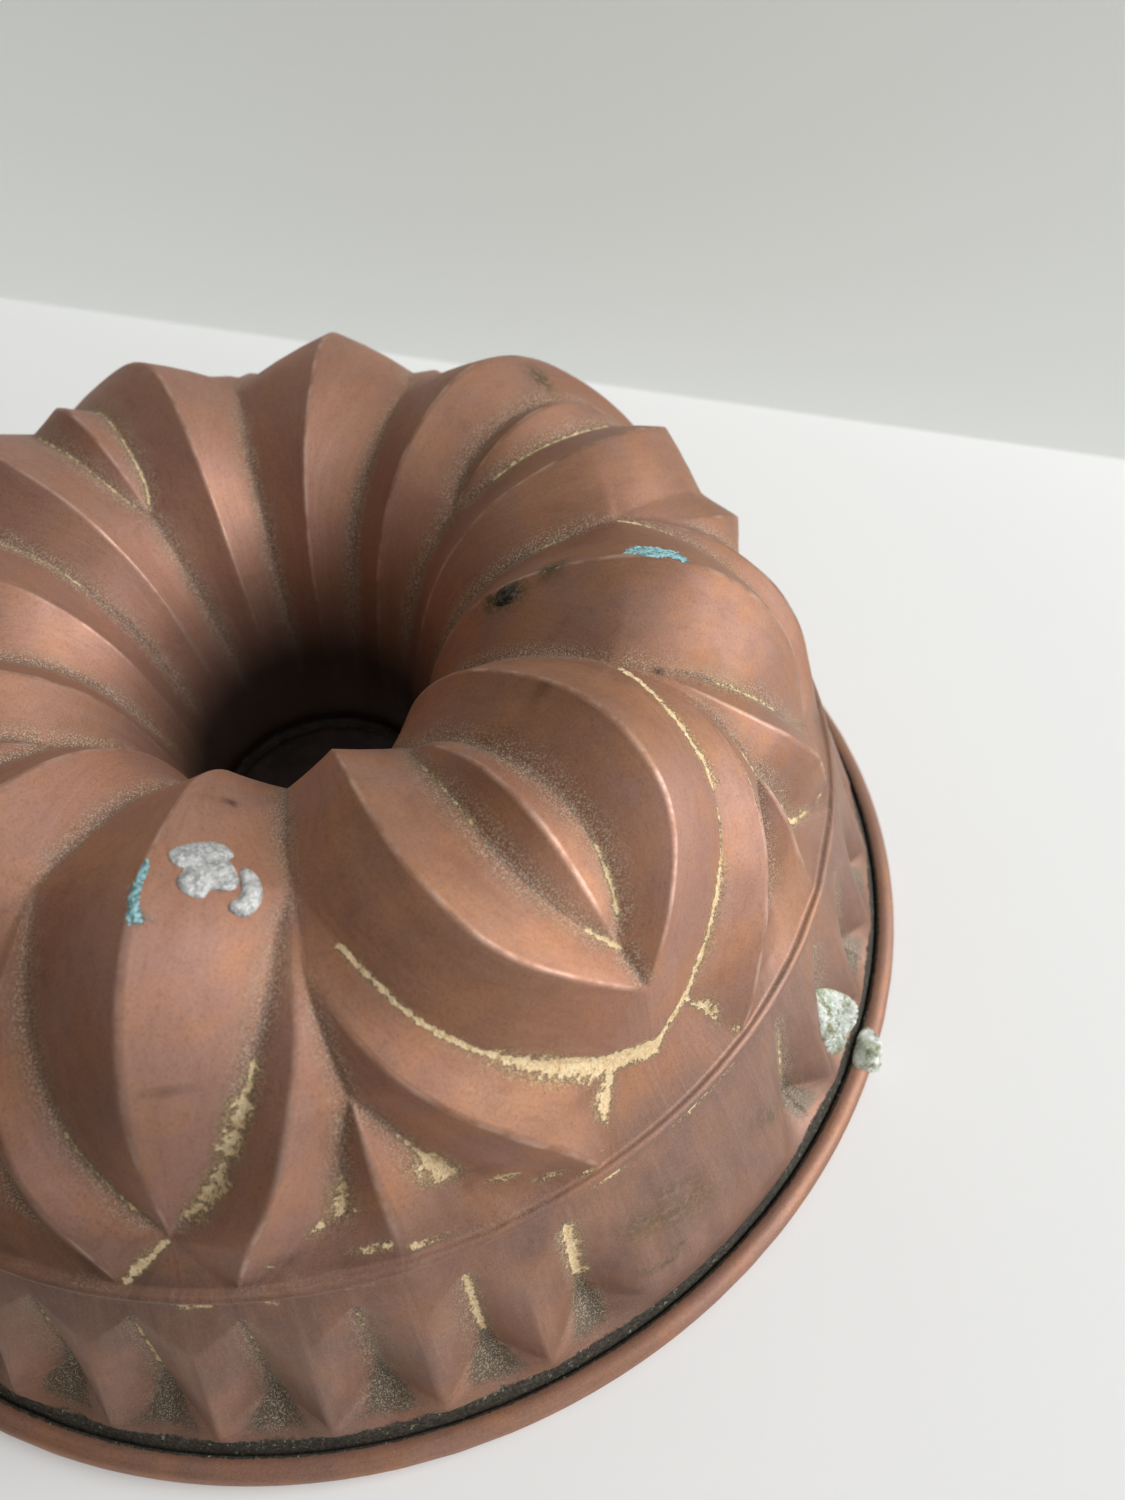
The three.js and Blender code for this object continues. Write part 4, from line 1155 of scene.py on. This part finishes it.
def nearest_on(points, loop):
    """Nearest point of a closed loop, and the distance to it, for each point."""
    distance = np.full(len(points), 1e9)
    foot = np.zeros_like(points)
    for a, b in zip(loop, np.roll(loop, -1, axis=0)):
        along = b - a
        share = np.clip((points - a) @ along / (along @ along), 0, 1)
        at = a + share[:, None] * along
        away = np.linalg.norm(points - at, axis=1)
        closer = away < distance
        distance[closer], foot[closer] = away[closer], at[closer]
    return foot, distance


LUMPS_PER_MM = 1.6
LEAST_RISE, SINK = 0.03, 0.3    # how far a deposit's edge stands out, and how deep its back lies


def deposit_mesh(lying, cell, thickness, edge, lumps):
    """Closed lumps from (outline, surface) pairs; a surface turns flat points into points and normals."""
    all_points, all_faces = [], []
    for outline, surface in lying:
        loop = chaikin(outline)
        low = loop.min(0) - cell
        columns, rows = np.ceil((loop.max(0) + cell - low) / cell).astype(int) + 1
        grid = low + cell * np.stack(np.meshgrid(np.arange(columns), np.arange(rows)), -1).reshape(-1, 2)
        within = inside(grid, loop)
        foot, distance = nearest_on(grid, loop)
        corner = (np.arange(rows - 1)[:, None] * columns + np.arange(columns - 1)[None]).ravel()
        quads = np.column_stack([corner, corner + 1, corner + columns + 1, corner + columns])
        quads = quads[within[quads].any(1)]
        used, quads = np.unique(quads, return_inverse=True)
        quads = quads.reshape(-1, 4)
        flat = np.where(within[used, None], grid[used], foot[used])
        depth = np.where(within[used], distance[used], 0)
        swell = 1 + lumps * bumpy(*(flat.T * LUMPS_PER_MM))
        rise = thickness * (1 - np.exp(-depth / edge)) * swell
        points, normals = surface(flat)
        top, under = points + normals * (rise + LEAST_RISE)[:, None], points - normals * SINK
        sides = set()
        for quad in quads.tolist():
            for a, b in zip(quad, quad[1:] + quad[:1]):
                if (b, a) in sides:
                    sides.remove((b, a))
                else:
                    sides.add((a, b))
        start, count = sum(len(p) for p in all_points), len(used)
        faces = quads.tolist() + [[v + count for v in quad[::-1]] for quad in quads.tolist()]
        faces += [[b, a, a + count, b + count] for a, b in sorted(sides)]
        all_points.append(np.vstack([top, under]))
        all_faces += [[v + start for v in face] for face in faces]
    return np.vstack(all_points), all_faces


def on_crown(turn, station):
    """Surface near a point of the crown: flat points are [down the section, round the axis] in mm."""
    radius = np.hypot(*surface_point(turn, station)[:2])

    def surface(flat):
        points, normals = [], []
        for down, across in flat:
            t, at = turn + math.degrees(across / radius), station + down
            point = surface_point(t, at)
            normal = np.cross(surface_point(t, at + 0.3) - point, surface_point(t + 0.2, at) - point)
            points.append(point)
            normals.append(normal / np.linalg.norm(normal))
        return np.array(points), np.array(normals)
    return surface


def on_strip(strip, turn):
    """Surface near a direction of a ring grid: flat points are [along the column, round the axis]."""
    angles = np.degrees(np.arctan2(strip[0, :, 1], strip[0, :, 0]))

    def surface(flat):
        points, normals = [], []
        for row, across in flat:
            offset = (angles - turn - math.degrees(across / RIM_RADIUS) + 180) % 360 - 180
            j = int(np.argmax(np.where(offset <= 0, offset, -360)))
            after = (j + 1) % COLUMNS
            share = -offset[j] / max((angles[after] - angles[j]) % 360, 1e-6)
            line = strip[:, j] * (1 - share) + strip[:, after] * share
            travelled = np.r_[0, np.cumsum(np.linalg.norm(np.diff(line, axis=0), axis=1))]
            at, ahead = (
                np.array([np.interp(v, travelled, line[:, k]) for k in range(3)]) for v in (row, row + 0.4)
            )
            normal = np.cross(ahead - at, [-at[1], at[0], 0])
            points.append(at)
            normals.append(normal / np.linalg.norm(normal))
        return np.array(points), np.array(normals)
    return surface


LOBED_PATCH = [
    (-1.2, -4.4), (-2.4, -3.8), (-4, -0.9), (-4.4, 1.7), (-2.4, 3.7), (-2, 2.2), (-1.2, 3.4), (0.8, 4.3),
    (2, 4), (2.4, 2.5), (2, 1.1), (3.2, 0.8), (3.2, -0.6), (2.4, -2.1), (1.2, -2.6), (0, -1.5), (0, -3.2),
]
CRESCENT_PATCH = [
    (-3.2, -0.9), (-2.4, 0.9), (-0.4, 1.8), (1.6, 1.5), (2.8, 0.3), (3.2, -0.6), (2.4, -2.1), (1.6, -2.1),
    (0.8, -0.9), (0, -0.6), (-1.2, -0.9),
]
PINHOLE_BLOB = [(-2.0, -0.5), (-1.2, 1.1), (0.4, 1.5), (1.9, 0.9), (2.1, -0.6), (0.8, -1.5), (-0.9, -1.3)]

# on the band and on the rolled edge: [along the column, round the rim]
WALL_CRUST = [
    (14.8, -5.4), (16, -1), (21.8, 4), (29.4, 7.2), (32.2, 4), (32.4, -1), (31.8, -3.5), (28, -6),
    (23.4, -7.8), (18, -8.6),
]
ROLL_CRUST = [(-0.2, -2), (0, 1.8), (1.1, 3.4), (3.8, 1.8), (4.9, -1), (6.4, -3.6), (3, -5.2), (0.6, -5.6)]

# Each row below ends with the mesh cell, the thickness, the width of the sloping edge and the share of lumps.
# The slot is written out, but nothing reads it.
tin = repair_tin("repair_tin")
plug = grainy("dark_solder", (0.13, 0.10, 0.06), (0.015, 0.012, 0.008), 0.8, 0.1, 0.7, 0.4)
lying_crust = [
    (WALL_CRUST, on_strip(show[FOOT_ROW:], -67.2)),
    (ROLL_CRUST, on_strip(roll[len(CURL_TURNS):len(CURL_TURNS) + len(ROLL_TURNS)], -66.6)),
]
for name, node, slot, finish, lying, shape in (
    ("lobed_patch", "repair_patch_large", "repair_tin", tin, [(LOBED_PATCH, on_crown(-128.7, 76))],
     (0.3, 0.4, 0.3, 0.3)),
    ("crescent_patch", "repair_patch_small", "repair_tin", tin, [(CRESCENT_PATCH, on_crown(-123.5, 78))],
     (0.3, 0.4, 0.3, 0.3)),
    ("pinhole_blob", "pinhole_solder", "dark_solder", plug, [(PINHOLE_BLOB, on_crown(-47.5, 60.8))],
     (0.3, 0.5, 0.5, 0.5)),
    ("rim_crust", "rim_solder_crust", "solder_crust", crust("solder_crust"), lying_crust,
     (0.35, 2.2, 1.2, 0.6)),
):
    points, faces = deposit_mesh(lying, *shape)
    stands_for(make_object(name, points, faces, finish), node)

# ---- stage, light and camera ----


def plain(name, colour, glow):
    """Pale matt surface with a little light of its own, for the rest of the white room, and its tone."""
    s = Surface(name)
    tone = s.mix(s.noise(60, 3, 0.5) * 0.08, colour, tuple(c * 0.85 for c in colour))
    s.finish(tone, 0.9, 0.0, s.bump(s.noise(1.5, 3, 0.6), 0.02))
    s.feed(s.shader.inputs["Emission Color"], tone)
    s.feed(s.shader.inputs["Emission Strength"], glow)
    return s, tone


SHADE_START, SHADE_END = 118 * MM, 160 * MM     # distance from the axis towards the viewer's side
TABLE_IN_SHADE = (0.09, 0.085, 0.08)


def table_top(name, colour, glow):
    """White table. To the left it sends the pan little light, as if in the viewer's shadow.

    The camera sees it as pale there as elsewhere. From below it is see-through.
    """
    s, tone = plain(name, colour, glow)
    x, y = (s.node("SeparateXYZ", {0: s.position}, axis) for axis in (0, 1))
    seen = s.node("LightPath", {}, "Is Camera Ray")
    shade = s.step(x * -0.95 + y * -0.3, SHADE_START, SHADE_END) * (1.0 - seen)
    tone = s.mix(shade, tone, TABLE_IN_SHADE)
    s.feed(s.shader.inputs["Base Color"], tone)
    s.feed(s.shader.inputs["Emission Color"], tone)
    s.clear_where(s.node("NewGeometry", {}, "Backfacing") * seen)
    return s.owner


def backdrop(name, colour, glow):
    """Wall that shows from the front only, so that it hides nothing from behind and casts no shadow."""
    s, _ = plain(name, colour, glow)
    s.clear_where(s.node("NewGeometry", {}, "Backfacing") | s.node("LightPath", {}, "Is Shadow Ray"))
    return s.owner


FLOOR_Z = CAD_BOX[0][2] / MM
FLOOR_HALF = 12000
WALL_DISTANCE, WALL_TURN = RIM_RADIUS + 75, math.radians(29.0)
WALL_HALF, WALL_TOP = 420, 500
wall_out = np.array([math.cos(WALL_TURN), math.sin(WALL_TURN), 0])
wall_along = np.array([-wall_out[1], wall_out[0], 0])
floor_corners = [(x * FLOOR_HALF, y * FLOOR_HALF, FLOOR_Z) for x, y in ((-1, -1), (1, -1), (1, 1), (-1, 1))]
wall_corners = [
    wall_out * WALL_DISTANCE + wall_along * side * WALL_HALF + np.array([0, 0, z])
    for side, z in ((1, FLOOR_Z), (-1, FLOOR_Z), (-1, WALL_TOP), (1, WALL_TOP))
]
for name, corners, material in (
    ("floor", floor_corners, table_top("white_table", (0.74, 0.745, 0.735), 0.30)),
    ("wall", wall_corners, backdrop("pale_wall", (0.71, 0.74, 0.72), 0.33)),
):
    make_object(name, corners, [(0, 1, 2, 3)], material, smooth=False)

# The room is bright towards the window and overhead, and dark to the left and behind the viewer.
WINDOW_WAY = Vector((0.66, -0.66, 0.46))
WINDOW_DISTANCE, WINDOW_SIZE, WINDOW_WATTS, WINDOW_COLOUR = 1500, 1000, 19, (0.99, 0.99, 1.0)
WINDOW_AIM = Vector((0, 0, 40))
ROOM_DARK, ROOM_BRIGHT = (0.185, 0.158, 0.128), (0.66, 0.68, 0.71)


def in_scene(name, data):
    """New object in the scene."""
    thing = bpy.data.objects.new(name, data)
    bpy.context.scene.collection.objects.link(thing)
    return thing


def add_window():
    """Large soft light that stands for a window."""
    data = bpy.data.lights.new("window", "AREA")
    data.shape, data.size = "SQUARE", WINDOW_SIZE * MM
    data.energy, data.color = WINDOW_WATTS, WINDOW_COLOUR
    place = WINDOW_WAY * WINDOW_DISTANCE
    turn = (WINDOW_AIM - place).to_track_quat("-Z", "Y")
    in_scene("window", data).matrix_world = Matrix.LocRotScale(place * MM, turn, None)


def light_room():
    """World whose light grows from dark to bright with nearness to the window's direction."""
    world = Nodes(bpy.data.worlds.new("room_light"))
    direction = world.node("TexCoord", {}, "Generated")
    inputs = {0: direction, 1: WINDOW_WAY.normalized()}
    nearness = world.node("VectorMath", inputs, "Value", operation="DOT_PRODUCT")
    tone = world.mix(world.step(nearness, -0.15, 0.9), ROOM_DARK, ROOM_BRIGHT)
    world.feed(world.tree.nodes["Background"].inputs["Color"], tone)
    bpy.context.scene.world = world.owner


# place of the camera, the way it looks, its up direction, and what is in focus
CAMERA_PLACE = Vector((-53.4, -137.3, 195.1))
CAMERA_FORWARD = (0.41373, 0.50254, -0.75914)
CAMERA_UP = (0.53503, 0.54044, 0.64936)
FOCUS = Vector((15, -55, 62))
SENSOR_HEIGHT, LENS, STOP = 36.0, 27.66, 16.0


def add_camera():
    """Camera at the photograph's angle."""
    data = bpy.data.cameras.new("camera")
    data.sensor_fit, data.sensor_height, data.lens = "VERTICAL", SENSOR_HEIGHT, LENS
    data.clip_start = 5 * MM
    focus = in_scene("focus", None)
    focus.location = FOCUS * MM
    data.dof.use_dof, data.dof.focus_object, data.dof.aperture_fstop = True, focus, STOP
    camera = in_scene("camera", data)
    forward, up = np.array(CAMERA_FORWARD), np.array(CAMERA_UP)
    basis = np.column_stack([np.cross(forward, up), up, -forward])
    camera.matrix_world = Matrix.Translation(CAMERA_PLACE * MM) @ Matrix(basis.tolist()).to_4x4()
    bpy.context.scene.camera = camera


add_window()
light_room()
add_camera()
bpy.context.scene.view_settings.view_transform = "Standard"
